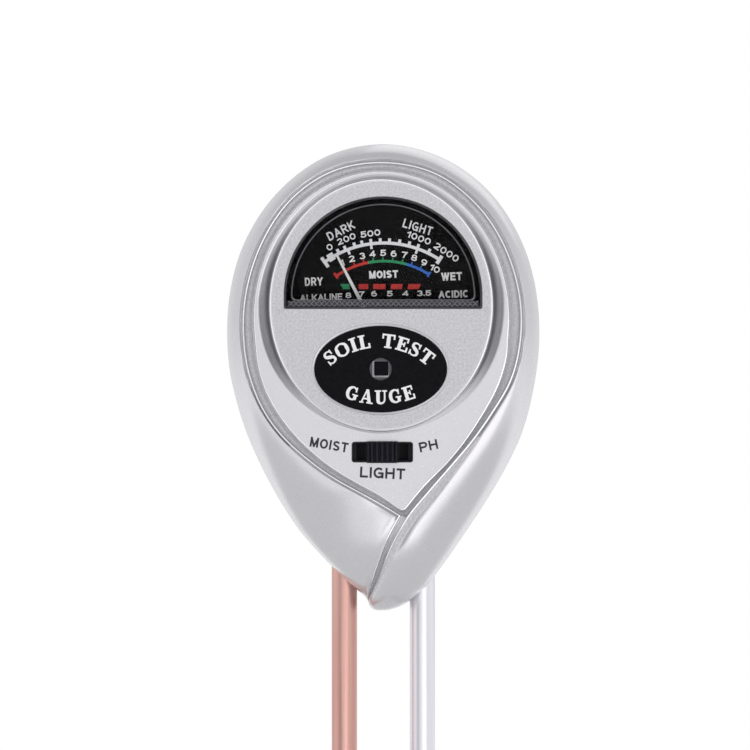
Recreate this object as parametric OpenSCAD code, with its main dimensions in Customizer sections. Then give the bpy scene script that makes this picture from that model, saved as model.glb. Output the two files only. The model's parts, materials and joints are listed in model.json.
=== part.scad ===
// Soil moisture, light and pH meter: an egg-shaped head with a moving-coil dial, on two metal probes.
// Millimetres. X is to the reader's right, Y runs from the dial to the back, Z is up.
// The origin is level with the head's lowest point, midway between the probe axes.

/* [Head] */
// Greatest width of the head
head_w = 64; // [63:0.5:68]
// Height of the head above its lowest point
head_h = 95.6; // [95:0.2:99]
// Depth of the raised lip in front of the parting plane
front_d = 16; // [15.8:0.1:16.4]
// Depth of the flat back behind the parting plane
back_d = 18; // [17:0.5:22]
// Wall thickness of both shells
wall = 2; // [1.8:0.1:2.2]

/* [Front face] */
// Height of the centre of the dial window
window_z = 64.5; // [64:0.1:65]
// Radius of the round top of the dial window
window_r = 19.9; // [18:0.1:20]
// Drop from the window's centre to its straight lower edge
window_drop = 2.4; // [2:0.1:2.6]
// Width of the oval label
label_w = 27; // [22:0.5:28]
// Height of the oval label
label_h = 17.6; // [14:0.2:18]
// Diameter of the light sensor's hole
sensor_d = 4.7; // [4.4:0.1:5.2]

/* [Switch] */
// Travel of the knob each way from its middle position
knob_travel = 2.8; // [2:0.1:3]
// Length of the knob's cap along its travel
knob_l = 6.2; // [5:0.1:6.4]
// Height of the knob's cap
knob_h = 4.4; // [4.2:0.1:5]

/* [Movement] */
// Height of the pointer's pivot
pivot_z = 54.6; // [54.4:0.1:54.8]
// Length of the pointer from its pivot to its tip
pointer_l = 21; // [16:0.5:21]
// Angle of the resting pointer from upright, to the left when negative
pointer_rest = -27.5; // [-34:0.5:30]

/* [Probes] */
// Radius of each probe rod
probe_r = 2.6; // [2.5:0.05:2.7]
// Distance between the two probe axes
probe_gap = 16; // [15.6:0.1:16.4]
// Length of each probe below the head
probe_l = 194; // [60:1:250]

/* [Hidden] */
$fn = 48;

// Depths along Y of the front face, from the lip back to the inside of the front wall
disc_y = 1 - front_d;
island_y = 1.2 - front_d;
groove_y = 2 - front_d;
inner_y = 3.2 - front_d;
// Depths of the movement behind it
dial_y = -7.2;
pointer_y = -7.9;
bridge_y = -9.4;
board_y = -7.2;
frame_y = 3.6;
plate_t = 1.6;

// Edge of the head and, point for point, the inner edge of the raised lip around its face
EDGE = [[0, 95.6], [12.1, 92.8], [21.5, 86.1], [28.3, 75.8], [31.5, 65], [31.9, 55], [30.5, 44],
    [25.9, 30.8], [21.3, 22.8], [16.5, 15.6], [10.5, 7], [5.2, 1.9], [-1, 0], [-3.5, 2.2],
    [-6, 4.8], [-10.9, 9.4], [-17.1, 16.2], [-25, 29.5], [-30.5, 44.4], [-32, 55], [-31.5, 65],
    [-28.4, 75.6], [-21.4, 86], [-12.1, 92.9]];
LIP = [[0.2, 91.4], [11, 89], [18.9, 82.8], [24.5, 74.4], [27.5, 64.2], [27.7, 56], [26, 48],
    [21.2, 39], [16.7, 32.8], [12, 27.7], [8, 23.9], [5.4, 21.2], [3.6, 20], [1.8, 21],
    [-0.1, 22.2], [-4.8, 24.8], [-11, 28.3], [-19.2, 34.8], [-26, 44.5], [-28.2, 55], [-27.9, 65],
    [-24.8, 74.4], [-18.6, 84], [-10.4, 89.6]];
// Raised teardrop face inside the lip: half an ellipse above, these points below it
ISLAND_TOP = [-0.35, 60];
ISLAND_R = [25.9, 29.7];
ISLAND_LOW = [[25.1, 53], [22.4, 44.2], [16.8, 34], [8.5, 26.3], [3.8, 21],
    [-0.1, 23.6], [-11, 30], [-18.4, 36.9], [-23.4, 44.4], [-25.9, 53.5]];
DISC_C = [-0.4, 62.6];
DISC_R = [22.8, 25.7];
LABEL_C = [-0.5, 49.6];
SLOT_C = [-0.15, 32.75];
SLOT_SIZE = [knob_l + 2 * knob_travel + 0.5, 4.1];

CASE_SCREWS = [[21.3, 75.5], [-21.3, 75.5], [15.5, 29], [-15.5, 29]];
METER_POSTS = [[20.5, 56], [-20.5, 56]];
BOARD_POSTS = [[9.4, 27], [-9.4, 27], [9.4, 38.6], [-9.4, 38.6]];
DIAL_POSTS = [[16, 60.6], [-16, 60.6]];
BRIDGE_POSTS = [[12.8, pivot_z], [-12.8, pivot_z]];

SILVER = [0.78, 0.78, 0.8];
BLACK = [0.1, 0.1, 0.12];
STEEL = [0.66, 0.67, 0.7];
BRASS = [0.8, 0.66, 0.35];
COPPER = [0.76, 0.47, 0.36];

// ---- Shared shapes ----

// One point of a smooth curve through b and c, with neighbours a and d
function curve(a, b, c, d, t) =
    0.5 * (2 * b + (c - a) * t + (2 * a - 5 * b + 4 * c - d) * t * t
    + (3 * b - a - 3 * c + d) * t * t * t);
// A closed smooth curve through all the points
function smooth_loop(p, steps) = let (n = len(p))
    [for (i = [0 : n - 1], s = [0 : steps - 1])
        curve(p[(i + n - 1) % n], p[i], p[(i + 1) % n], p[(i + 2) % n], s / steps)];
// An open smooth curve through all the points, ends included
function smooth_path(p, steps) = let (n = len(p))
    [for (i = [0 : n - 2], s = [0 : steps - (i < n - 2 ? 1 : 0)])
        curve(p[max(i - 1, 0)], p[i], p[i + 1], p[min(i + 2, n - 1)], s / steps)];
function ellipse(c, r, n) = [for (a = [0 : 360 / n : 359.9]) c + [r[0] * cos(a), r[1] * sin(a)]];
// Points moved towards the middle of the head, sideways and upwards by these shares
function drawn_in(p, kx, kz) = [for (q = p) [q[0] * kx, 52 + (q[1] - 52) * kz]];
function sized(p) = [for (q = p) [q[0] * head_w / 64, q[1] * head_h / 95.6]];

head_edge = sized(EDGE);
lip_edge = sized(LIP);

// A plate between two depths, from an outline of X and Z
module plate(y0, y1) {
    translate([0, y1, 0]) rotate([90, 0, 0]) linear_extrude(y1 - y0) children();
}
module rod_y(p, r, y0, y1) {
    translate([p[0], y0, p[1]]) rotate([-90, 0, 0]) cylinder(r = r, h = y1 - y0);
}
module box(p, size, y0, y1) {
    translate([p[0] - size[0] / 2, y0, p[1] - size[1] / 2]) cube([size[0], y1 - y0, size[1]]);
}
// A solid through matching loops, the first one behind the last
module loft(rings) {
    n = len(rings[0]);
    last = len(rings) - 1;
    polyhedron(
        points = [for (ring = rings) each ring],
        faces = concat(
            [[for (i = [n - 1 : -1 : 0]) i]],
            [[for (i = [0 : n - 1]) last * n + i]],
            [for (k = [0 : last - 1], i = [0 : n - 1])
                let (j = (i + 1) % n) each [[k * n + i, k * n + j, (k + 1) * n + j],
                    [k * n + i, (k + 1) * n + j, (k + 1) * n + i]]]));
}
// A dome from one outline at the parting plane to another in front of it
module dome(outer, inner, depth) {
    a = smooth_loop(outer, 3);
    b = smooth_loop(inner, 3);
    loft([for (t = [0, 14, 28, 42, 56, 68, 80, 90]) let (w = 1 - cos(t), y = -depth * pow(sin(t), 0.85))
        [for (i = [0 : len(a) - 1]) let (q = a[i] + (b[i] - a[i]) * w) [q[0], y, q[1]]]]);
}
// A round wire swept along points
module wire(points, r) {
    path = smooth_path(points, 5);
    n = len(path);
    sides = 8;
    loft([for (k = [0 : n - 1])
        let (t = path[min(k + 1, n - 1)] - path[max(k - 1, 0)], d = t / norm(t),
            u0 = cross(d, [1, 0, 0]), u = u0 / norm(u0), v = cross(d, u))
        [for (i = [0 : sides - 1]) path[k] + r * (cos(360 * i / sides) * u + sin(360 * i / sides) * v)]]);
}
// A screw with a pan head, its head on the side towards the back
module screw(p, r, head_r, seat_y, length, back = true) {
    s = back ? 1 : -1;
    head_h = head_r * 0.62;
    ends = [seat_y - s * length, seat_y];
    rod_y(p, r, min(ends), max(ends));
    difference() {
        rod_y(p, head_r, min(seat_y, seat_y + s * head_h), max(seat_y, seat_y + s * head_h));
        for (size = [[head_r * 1.2, 0.35], [0.35, head_r * 1.2]])
            box(p, size, seat_y + s * head_h - 0.4, seat_y + s * head_h + 0.4);
    }
}
module window_outline(grow) {
    difference() {
        translate([0, window_z]) circle(r = window_r + grow, $fn = 96);
        translate([-40, window_z - 80]) square([80, 80 - window_drop - grow]);
    }
    translate([-window_r - grow, window_z - window_drop - grow])
        square([2 * (window_r + grow), window_drop + grow]);
}
module probe_notches() {
    for (s = [-1, 1]) translate([s * probe_gap / 2, 0, -2]) cylinder(r = probe_r + 0.05, h = 16);
}

// ---- Case ----

module front_bosses() {
    for (p = CASE_SCREWS) rod_y(p, 2.75, -front_d, -2);
    for (p = METER_POSTS) rod_y(p, 2.2, -front_d, -0.5);
    for (p = BOARD_POSTS) rod_y(p, 1.7, -front_d, board_y);
    box([0, 19.8], [18, 1.6], -front_d, -4.6);
}
module front_shell() color(SILVER) {
    island = concat([for (a = [170 : -10 : 10]) ISLAND_TOP + [ISLAND_R[0] * cos(a), ISLAND_R[1] * sin(a)]],
        ISLAND_LOW);
    difference() {
        union() {
            difference() {
                dome(head_edge, lip_edge, front_d);
                plate(-front_d - 1, groove_y)
                    polygon(smooth_loop(drawn_in(lip_edge, 0.985, 0.985), 3));
            }
            plate(island_y, groove_y + 0.2) polygon(smooth_loop(island, 3));
            plate(disc_y, groove_y + 0.2) polygon(ellipse(DISC_C, DISC_R, 72));
        }
        difference() {
            dome(drawn_in(head_edge, 1 - wall / 32, 1 - wall / 44),
                drawn_in(lip_edge, 1 - wall / 32, 1 - wall / 44), -inner_y);
            front_bosses();
        }
        plate(-front_d - 1, inner_y + 1) window_outline(0);
        plate(-front_d - 1, disc_y + 0.3) polygon(ellipse(LABEL_C, [label_w / 2 + 0.1, label_h / 2 + 0.1], 72));
        rod_y(LABEL_C, sensor_d / 2, -front_d - 1, inner_y + 1);
        box(SLOT_C, SLOT_SIZE, -front_d - 1, inner_y + 1);
        for (p = CASE_SCREWS) rod_y(p, 1.25, -11.5, 0);
        for (p = METER_POSTS) rod_y(p, 0.95, -8, 1);
        for (p = BOARD_POSTS) rod_y(p, 0.85, -11, board_y + 1);
        probe_notches();
    }
}

module back_shell() color(SILVER) {
    flat = drawn_in(head_edge, 0.5, 0.5);
    difference() {
        mirror([0, 1, 0]) dome(head_edge, flat, back_d);
        difference() {
            mirror([0, 1, 0]) dome(drawn_in(head_edge, 1 - wall / 32, 1 - wall / 44),
                drawn_in(flat, 1 - wall / 32, 1 - wall / 44), back_d - wall);
            for (p = CASE_SCREWS) rod_y(p, 4.2, 0, back_d);
            box([0, 19.8], [18, 1.6], 4.6, back_d);
        }
        for (p = CASE_SCREWS) {
            rod_y(p, 1.6, -3, back_d);
            rod_y(p, 3, 9, back_d + 2);
        }
        probe_notches();
    }
    for (p = CASE_SCREWS) difference() {
        rod_y(p, 2.75, -2, 0.5);
        rod_y(p, 1.6, -3, 1);
    }
}
module case_screws() color(STEEL) for (p = CASE_SCREWS) screw(p, 1.2, 2.6, 9, 19);

// ---- Dial window, label and light sensor ----

module dial_window() color([0.75, 0.8, 0.85, 0.35]) {
    plate(inner_y - 0.8, inner_y) window_outline(-0.1);
    plate(inner_y - 1.4, inner_y - 0.8) window_outline(-1.2);
    plate(inner_y, inner_y + 1.2) window_outline(1.1);
}
module sensor_label() color(BLACK) difference() {
    plate(disc_y - 0.15, disc_y + 0.3) polygon(ellipse(LABEL_C, [label_w / 2, label_h / 2], 72));
    rod_y(LABEL_C, sensor_d / 2, -front_d - 1, inner_y);
}
module cell_bezel() color([0.5, 0.5, 0.52]) difference() {
    union() {
        rod_y(LABEL_C, sensor_d / 2 - 0.05, disc_y + 0.9, inner_y);
        rod_y(LABEL_C, 4.4, inner_y, inner_y + 1.3);
    }
    box(LABEL_C, [3.4, 3.4], -front_d, inner_y + 1);
    box(LABEL_C, [4.6, 4.6], inner_y + 0.4, inner_y + 2);
}
module light_cell() color([0.16, 0.12, 0.2]) box(LABEL_C, [4.5, 4.5], inner_y + 0.4, inner_y + 1.2);

// ---- Dial and movement ----

module dial_plate() color(BLACK) difference() {
    plate(dial_y, dial_y + 0.4) {
        translate([0, window_z]) circle(r = 21.2, $fn = 96);
        translate([-21.2, 58.8]) square([42.4, window_z - 58.8]);
    }
    box([0, 48.8], [44, 20], dial_y - 1, dial_y + 1);
    for (p = DIAL_POSTS) rod_y(p, 1, dial_y - 1, dial_y + 1);
}
module dial_screws() color(STEEL) for (p = DIAL_POSTS) screw(p, 0.8, 1.5, dial_y, 5, back = false);
// Two pins that the pointer meets just past each end of the scale
module pointer_stops() color(STEEL) for (a = [-42.8, 41.8])
    rod_y([8 * sin(a), pivot_z + 8 * cos(a)], 0.4, dial_y - 1.3, dial_y);

module meter_frame() color([0.16, 0.16, 0.17]) {
    pivot = [0, pivot_z];
    difference() {
        union() {
            plate(frame_y, frame_y + plate_t) {
                translate(pivot) circle(r = 13);
                translate([-22.7, 53.4]) square([45.4, 9]);
                translate([-3, 60]) square([6, 22]);
            }
            for (p = DIAL_POSTS) rod_y(p, 1.5, dial_y + 0.4, frame_y + 0.1);
            for (p = BRIDGE_POSTS) rod_y(p, 2, bridge_y, frame_y + 0.1);
            for (p = METER_POSTS) rod_y(p, 2.2, -0.5, frame_y + 0.1);
            rod_y([0, 80], 1.5, dial_y + 0.4, frame_y + 0.1);
            rod_y([0, pivot_z - 3.9], 0.45, 1.9, frame_y + 0.1);
            difference() {
                rod_y(pivot, 10.2, 0.6, frame_y + 0.1);
                rod_y(pivot, 8, 0, frame_y);
            }
        }
        rod_y(pivot, 1.3, 2, frame_y + 3);
        for (p = METER_POSTS) rod_y(p, 1.1, -1, frame_y + 3);
        for (p = DIAL_POSTS) rod_y(p, 0.85, dial_y - 1, dial_y + 5.4);
        for (p = BRIDGE_POSTS) rod_y(p, 0.85, bridge_y - 1, bridge_y + 3.2);
    }
}
module meter_screws() color(STEEL) for (p = METER_POSTS) screw(p, 0.9, 1.9, frame_y + plate_t, 12);
module bridge_screws() color(STEEL) for (p = BRIDGE_POSTS)
    screw(p, 0.8, 1.5, bridge_y - 0.8, 3.5, back = false);

module core_magnet() color([0.3, 0.3, 0.32]) rod_y([0, pivot_z], 5.2, -5.4, 0.6);
module yoke_ring() color(STEEL) difference() {
    rod_y([0, pivot_z], 10.2, -5.4, 0.6);
    rod_y([0, pivot_z], 7.4, -6, 1);
}
// Blocks that hold the core inside the yoke, clear of the coil's swing
module core_spacers() color(BRASS) difference() {
    for (s = [-1, 1]) box([s * 6.2, pivot_z], [3.4, 2.4], -4, -1);
    rod_y([0, pivot_z], 5.2, -6, 1);
    difference() {
        rod_y([0, pivot_z], 12, -6, 1);
        rod_y([0, pivot_z], 7.4, -7, 2);
    }
}

// Everything on the swinging assembly is drawn upright and then turned to the resting angle
module swung() translate([0, 0, pivot_z]) rotate([0, pointer_rest, 0]) children();
module moving_coil() color(COPPER) swung() difference() {
    box([0, 0], [2.4, 13.8], -6.3, 1.5);
    box([0, 0], [3, 11.4], -5.7, 0.9);
}
module front_pivot() color(STEEL) {
    rod_y([0, pivot_z], 0.5, -8.9, -6.3);
    rod_y([0, pivot_z], 0.22, -9.6, -8.9);
}
module rear_pivot() color(STEEL) {
    rod_y([0, pivot_z], 0.5, 1.5, 2.3);
    rod_y([0, pivot_z], 0.22, 2.3, 2.9);
}
module pointer() color([0.93, 0.93, 0.9]) swung() difference() {
    union() {
        plate(pointer_y, pointer_y + 0.2)
            polygon([[-0.5, 0], [-0.22, pointer_l - 0.6], [0, pointer_l], [0.22, pointer_l - 0.6], [0.5, 0]]);
        plate(pointer_y, pointer_y + 0.2) {
            translate([-0.35, -5.4]) square([0.7, 5.4]);
            translate([-4.6, -0.35]) square([9.2, 0.7]);
        }
        rod_y([0, 0], 1.3, pointer_y - 0.2, pointer_y + 0.6);
    }
    rod_y([0, 0], 0.5, pointer_y - 1, pointer_y + 1);
}
module balance_weights() color(BRASS) swung() for (p = [[0, -4.7], [4, 0], [-4, 0]]) difference() {
    rod_y(p, 0.75, pointer_y - 0.3, pointer_y + 0.5);
    plate(pointer_y, pointer_y + 0.2) {
        translate([-0.35, -5.4]) square([0.7, 5.4]);
        translate([-4.6, -0.35]) square([9.2, 0.7]);
    }
}

module front_bridge() color(BRASS) difference() {
    plate(bridge_y - 0.8, bridge_y) {
        translate([-12.8, pivot_z - 2]) square([25.6, 4]);
        for (p = BRIDGE_POSTS) translate(p) circle(r = 2);
    }
    rod_y([0, pivot_z], 1.3, bridge_y - 2, bridge_y + 1);
    for (p = BRIDGE_POSTS) rod_y(p, 0.9, bridge_y - 2, bridge_y + 1);
}
module front_jewel() color(BRASS) difference() {
    rod_y([0, pivot_z], 1.25, bridge_y - 1.9, bridge_y + 0.2);
    rod_y([0, pivot_z], 0.3, bridge_y - 0.4, bridge_y + 1);
    box([0, pivot_z], [3, 0.35], bridge_y - 3, bridge_y - 1.5);
}
module rear_jewel() color(BRASS) difference() {
    union() {
        rod_y([0, pivot_z], 1.25, 2.6, frame_y + plate_t);
        rod_y([0, pivot_z], 2, frame_y + plate_t, frame_y + plate_t + 0.9);
    }
    rod_y([0, pivot_z], 0.3, 2, 3.1);
    box([0, pivot_z], [5, 0.4], frame_y + plate_t + 0.4, frame_y + 4);
}
// A flat spiral strip, seen along Y
module spiral(r0, r1, turns) {
    n = turns * 20;
    strip = 0.16;
    function at(i, grow) = let (r = r0 + (r1 - r0) * i / n + grow, a = -90 + 360 * turns * (i - n) / n)
        [r * cos(a), r * sin(a)];
    polygon(concat([for (i = [0 : n]) at(i, 0)], [for (i = [n : -1 : 0]) at(i, strip)]));
}
module front_hairspring() color(BRASS)
    translate([0, 0, pivot_z]) plate(bridge_y + 0.4, bridge_y + 0.65) spiral(0.8, 4, 4);
module rear_hairspring() color(BRASS)
    translate([0, 0, pivot_z]) plate(2, 2.25) spiral(0.8, 3.3, 3);
// Clamped under the front jewel; its bent tab holds the outer end of the front hairspring
module zero_arm() color(BRASS) difference() {
    union() {
        rod_y([0, pivot_z], 2.2, bridge_y - 1.2, bridge_y - 0.8);
        box([0, pivot_z - 2.9], [1.6, 4.4], bridge_y - 1.2, bridge_y - 0.8);
        box([0, pivot_z - 4.75], [1.6, 0.7], bridge_y - 1.2, bridge_y + 0.7);
    }
    rod_y([0, pivot_z], 1.3, bridge_y - 3, bridge_y + 1);
}

// ---- Switch and circuit ----

module switch_body() color(BLACK) difference() {
    box(SLOT_C, [16, 6.8], inner_y + 0.2, board_y);
    box(SLOT_C, [14.6, 5.2], inner_y + 1, board_y - 0.8);
    box(SLOT_C, [4.4 + 2 * knob_travel + 0.6, 3.4], inner_y - 1, inner_y + 2);
}
module switch_knob() color([0.13, 0.13, 0.17]) {
    difference() {
        box(SLOT_C, [knob_l, knob_h], island_y - 1.75, island_y - 0.25);
        for (i = [-2 : 2]) box([SLOT_C[0] + i * 1.05, SLOT_C[1]], [0.42, 6], island_y - 3, island_y - 1.3);
    }
    box(SLOT_C, [knob_l - 0.4, 3.6], island_y - 0.25, inner_y - 0.1);
    box(SLOT_C, [4.4, 2.8], inner_y - 0.1, inner_y + 1.5);
    box(SLOT_C, [7.2, 4.6], inner_y + 1.5, inner_y + 3.8);
}
module switch_wiper() color(BRASS) for (s = [-1, 1])
    box(SLOT_C + [0, s * 1.3], [5, 0.9], inner_y + 3.8, inner_y + 4.2);
module switch_terminals() color(STEEL) for (i = [-1.5 : 1 : 1.5], s = [-1, 1])
    rod_y(SLOT_C + [i * 3.6, s * 2.6], 0.4, board_y, board_y + 2.6);
module circuit_board() color([0.12, 0.4, 0.22]) difference() {
    box([0, 32.9], [22, 15], board_y, board_y + plate_t);
    for (p = BOARD_POSTS) rod_y(p, 1, board_y - 1, board_y + 3);
    for (i = [-1.5 : 1 : 1.5], s = [-1, 1])
        rod_y(SLOT_C + [i * 3.6, s * 2.6], 0.5, board_y - 1, board_y + 3);
}
module board_screws() color(STEEL) for (p = BOARD_POSTS) screw(p, 0.8, 1.6, board_y + plate_t, 4.5);
module resistors() color([0.72, 0.58, 0.4]) for (z = [28.4, 32.75, 38.2])
    translate([0, board_y + plate_t + 1, z]) {
        rotate([0, 90, 0]) cylinder(r = 0.9, h = 4.4, center = true, $fn = 24);
        rotate([0, 90, 0]) cylinder(r = 0.25, h = 7, center = true, $fn = 16);
        for (s = [-1, 1]) translate([s * 3.4, 0, 0]) rotate([90, 0, 0]) cylinder(r = 0.25, h = 1, $fn = 16);
    }

// ---- Probes ----

// A pointed rod with a shank held in the head, a retaining flange and a threaded end
module probe(s) translate([s * probe_gap / 2, 0, 0]) rotate_extrude()
    polygon([[0, -probe_l], [0.3, -probe_l], [probe_r, 9 - probe_l], [probe_r, 1],
        [probe_r - 0.18, 1], [probe_r - 0.18, 14.2], [3.6, 14.2], [3.6, 15.5],
        [probe_r - 0.18, 15.5], [probe_r - 0.18, 24], [1.5, 24], [1.5, 30], [0, 30]]);
module copper_probe() color(COPPER) probe(-1);
module aluminium_probe() color([0.85, 0.86, 0.88]) probe(1);
module probe_holder() color(BLACK) difference() {
    translate([-11.6, -4.6, 15.5]) cube([23.2, 9.2, 8.5]);
    for (s = [-1, 1]) translate([s * probe_gap / 2, 0, 0]) cylinder(r = probe_r - 0.12, h = 40);
}
module probe_terminals() color(STEEL) for (s = [-1, 1]) translate([s * probe_gap / 2, 0, 24]) difference() {
    union() {
        cylinder(r = 2.8, h = 0.6);
        translate([-0.8, 2, 0]) cube([1.6, 3, 0.6]);
    }
    translate([0, 0, -1]) cylinder(r = 1.55, h = 3);
}
module probe_nuts() color(BRASS) for (s = [-1, 1]) translate([s * probe_gap / 2, 0, 24.6]) difference() {
    cylinder(r = 3.2, h = 2.4, $fn = 6);
    translate([0, 0, -1]) cylinder(r = 1.55, h = 5);
}

// ---- Wires ----

module probe_lead(s) wire([for (p = [[8, 4.4, 25.15], [8, 6.4, 26.6], [7.2, 6.2, 30], [5.6, 2.6, 31.6],
    [4.8, -1.6, 30.2], [4.5, -5, 28.4]]) [s * p[0], p[1], p[2]]], 0.55);
module copper_lead() color([0.75, 0.12, 0.1]) probe_lead(-1);
module aluminium_lead() color([0.1, 0.1, 0.1]) probe_lead(1);
module meter_leads() color([0.8, 0.7, 0.15]) for (s = [-1, 1])
    wire([[s * 5, 5.75, 47.5], [s * 5.2, 6.8, 44.5], [s * 5.4, 4.2, 41], [s * 5.2, -1, 39.4],
        [s * 5, -5, 37.4]], 0.5);
module cell_leads() color([0.15, 0.35, 0.7]) for (s = [-1, 1])
    wire([[LABEL_C[0] + s * 1.3, -11, 48.8], [s * 1.9, -10.4, 46], [s * 2.6, -9.4, 42],
        [s * 2.6, -7.8, 38.6]], 0.5);

front_shell();
back_shell();
case_screws();
dial_window();
sensor_label();
cell_bezel();
light_cell();
dial_plate();
dial_screws();
pointer_stops();
meter_frame();
meter_screws();
core_magnet();
core_spacers();
yoke_ring();
moving_coil();
front_pivot();
rear_pivot();
pointer();
balance_weights();
front_bridge();
bridge_screws();
front_jewel();
rear_jewel();
front_hairspring();
rear_hairspring();
zero_arm();
switch_body();
switch_knob();
switch_wiper();
switch_terminals();
circuit_board();
board_screws();
resistors();
copper_probe();
aluminium_probe();
probe_holder();
probe_terminals();
probe_nuts();
copper_lead();
aluminium_lead();
meter_leads();
cell_leads();
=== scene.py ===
"""Looks of the soil moisture, light and pH meter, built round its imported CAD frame."""

import json
import math

import bmesh
import bpy
import numpy as np
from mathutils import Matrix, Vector
from mathutils.geometry import delaunay_2d_cdt


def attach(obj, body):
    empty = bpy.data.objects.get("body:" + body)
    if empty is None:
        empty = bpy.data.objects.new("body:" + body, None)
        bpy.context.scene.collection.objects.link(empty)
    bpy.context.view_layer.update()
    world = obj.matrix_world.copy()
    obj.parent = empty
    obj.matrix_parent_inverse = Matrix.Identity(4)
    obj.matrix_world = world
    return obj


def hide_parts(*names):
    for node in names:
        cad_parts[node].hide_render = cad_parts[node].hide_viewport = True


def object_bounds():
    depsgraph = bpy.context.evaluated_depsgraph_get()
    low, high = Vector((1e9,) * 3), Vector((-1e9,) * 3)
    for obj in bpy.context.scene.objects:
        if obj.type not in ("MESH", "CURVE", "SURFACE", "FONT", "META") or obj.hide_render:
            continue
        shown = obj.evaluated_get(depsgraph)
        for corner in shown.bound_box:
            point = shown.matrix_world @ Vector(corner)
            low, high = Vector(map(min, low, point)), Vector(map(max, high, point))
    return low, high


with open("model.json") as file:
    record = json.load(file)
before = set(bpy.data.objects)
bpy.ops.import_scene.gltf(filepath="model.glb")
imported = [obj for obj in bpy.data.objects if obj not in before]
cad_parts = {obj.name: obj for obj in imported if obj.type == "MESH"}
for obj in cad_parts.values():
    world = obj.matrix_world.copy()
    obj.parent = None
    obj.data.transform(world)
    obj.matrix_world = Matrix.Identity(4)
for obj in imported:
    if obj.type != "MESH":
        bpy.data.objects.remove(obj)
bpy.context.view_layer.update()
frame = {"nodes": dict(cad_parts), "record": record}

# Lengths below are millimetres. A point is (x, depth, z): x to the reader's right, depth towards
# the reader from the parting plane between the two shells, z up from the head's lowest point.
MM = 0.001
LIP_D, DISC_D, ISLAND_D, GROOVE_D, INNER_D = 16.0, 15.0, 14.8, 14.0, 12.8
DIAL_D, DIAL_X, LABEL_D = 7.2, 0.12, 15.15
DIAL_C = np.array([DIAL_X, 54.6])
BACK_D = 18.0
INK = 0.03
WALL = (1 - 2 / 32, 1 - 2 / 44)
RIB = ((0, 19.8), (18, 1.6))
ROD_R, ROD_LOW, ROD_X = 2.6, -194.0, (-8.0, 8.0)
CELL_STEPS = 96
WINDOW_Z, WINDOW_R, WINDOW_DROP = 64.5, 19.9, 2.4
LABEL_C, LABEL_R = (-0.5, 49.6), (13.5, 8.8)
SENSOR_R = 2.35
DISC_C, DISC_R = (-0.4, 62.6), (22.8, 25.7)
SLOT_C, SLOT_SIZE = (-0.15, 32.75), (12.3, 4.1)
CASE_SCREWS = [(21.3, 75.5), (-21.3, 75.5), (15.5, 29.0), (-15.5, 29.0)]
POSTS = [(2.75, 2.0, CASE_SCREWS, 1.25, 11.5), (2.2, 0.5, [(20.5, 56.0), (-20.5, 56.0)], 0.95, 8.0),
         (1.7, 7.2, [(9.4, 27.0), (-9.4, 27.0), (9.4, 38.6), (-9.4, 38.6)], 0.85, 11.0)]


# ---------------------------------------------------------------- curves

def hermite(points, t, at):
    """A smooth curve through points at parameters t, read at the parameters at."""
    p, t, at = np.asarray(points, float), np.asarray(t, float), np.asarray(at, float)
    h = np.diff(t)
    slope = np.diff(p, axis=0) / h[:, None]
    m = np.empty_like(p)
    m[1:-1] = (slope[:-1] * h[1:, None] + slope[1:] * h[:-1, None]) / (h[:-1] + h[1:])[:, None]
    m[0], m[-1] = slope[0] * 1.5 - m[1] * 0.5, slope[-1] * 1.5 - m[-2] * 0.5
    i = np.clip(np.searchsorted(t, at, side="right") - 1, 0, len(h) - 1)
    f = ((at - t[i]) / h[i])[:, None]
    g = h[i][:, None]
    return ((2 * f**3 - 3 * f**2 + 1) * p[i] + (f**3 - 2 * f**2 + f) * g * m[i]
            + (3 * f**2 - 2 * f**3) * p[i + 1] + (f**3 - f**2) * g * m[i + 1])


def blur(values, sigma, closed=False):
    """Values smoothed along their first axis; the ends of an open run stay put."""
    v = np.asarray(values, float)
    v = v[:, None] if v.ndim == 1 else v
    r = int(3 * sigma) + 1
    k = np.exp(-0.5 * (np.arange(-r, r + 1) / sigma) ** 2)
    k /= k.sum()
    if closed:
        padded = np.concatenate([v[-r:], v, v[:r]])
    else:
        padded = np.concatenate([2 * v[0] - v[r:0:-1], v, 2 * v[-1] - v[-2:-r - 2:-1]])
    out = np.stack([np.convolve(padded[:, c], k, "valid") for c in range(v.shape[1])], 1)
    return out if np.ndim(values) > 1 else out[:, 0]


def arc_length(points, closed=False):
    """Distance along the points, from 0 at the first."""
    p = np.asarray(points, float)
    p = np.concatenate([p, p[:1]]) if closed else p
    return np.concatenate([[0], np.cumsum(np.linalg.norm(np.diff(p, axis=0), axis=1))])


def ellipse(centre, radii, count):
    a = np.linspace(0, 2 * np.pi, count, endpoint=False)
    return np.stack([centre[0] + radii[0] * np.cos(a), centre[1] + radii[1] * np.sin(a)], 1)


def circle(centre, radius, count=240):
    return ellipse(centre, (radius, radius), count)


def label_loop(grow):
    """The oval label's outline, grown by a distance."""
    return ellipse(LABEL_C, (LABEL_R[0] + grow, LABEL_R[1] + grow), 240)


def rounded_box(centre, size, radius, steps=8):
    pts = []
    for k, (sx, sz) in enumerate([(1, 1), (-1, 1), (-1, -1), (1, -1)]):
        for i in range(steps + 1):
            a = (k + i / steps) * np.pi / 2
            pts.append((centre[0] + sx * (size[0] / 2 - radius) + radius * np.cos(a),
                        centre[1] + sz * (size[1] / 2 - radius) + radius * np.sin(a)))
    return np.array(pts)


def outward(loop):
    """Unit normals of a closed loop, pointing out of it."""
    p = np.asarray(loop, float)
    d = np.roll(p, -1, axis=0) - np.roll(p, 1, axis=0)
    n = np.stack([d[:, 1], -d[:, 0]], 1)
    n /= np.maximum(np.linalg.norm(n, axis=1), 1e-9)[:, None]
    q = np.roll(p, -1, axis=0)
    area = np.sum(p[:, 0] * q[:, 1] - q[:, 0] * p[:, 1])
    return n if area > 0 else -n


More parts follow.
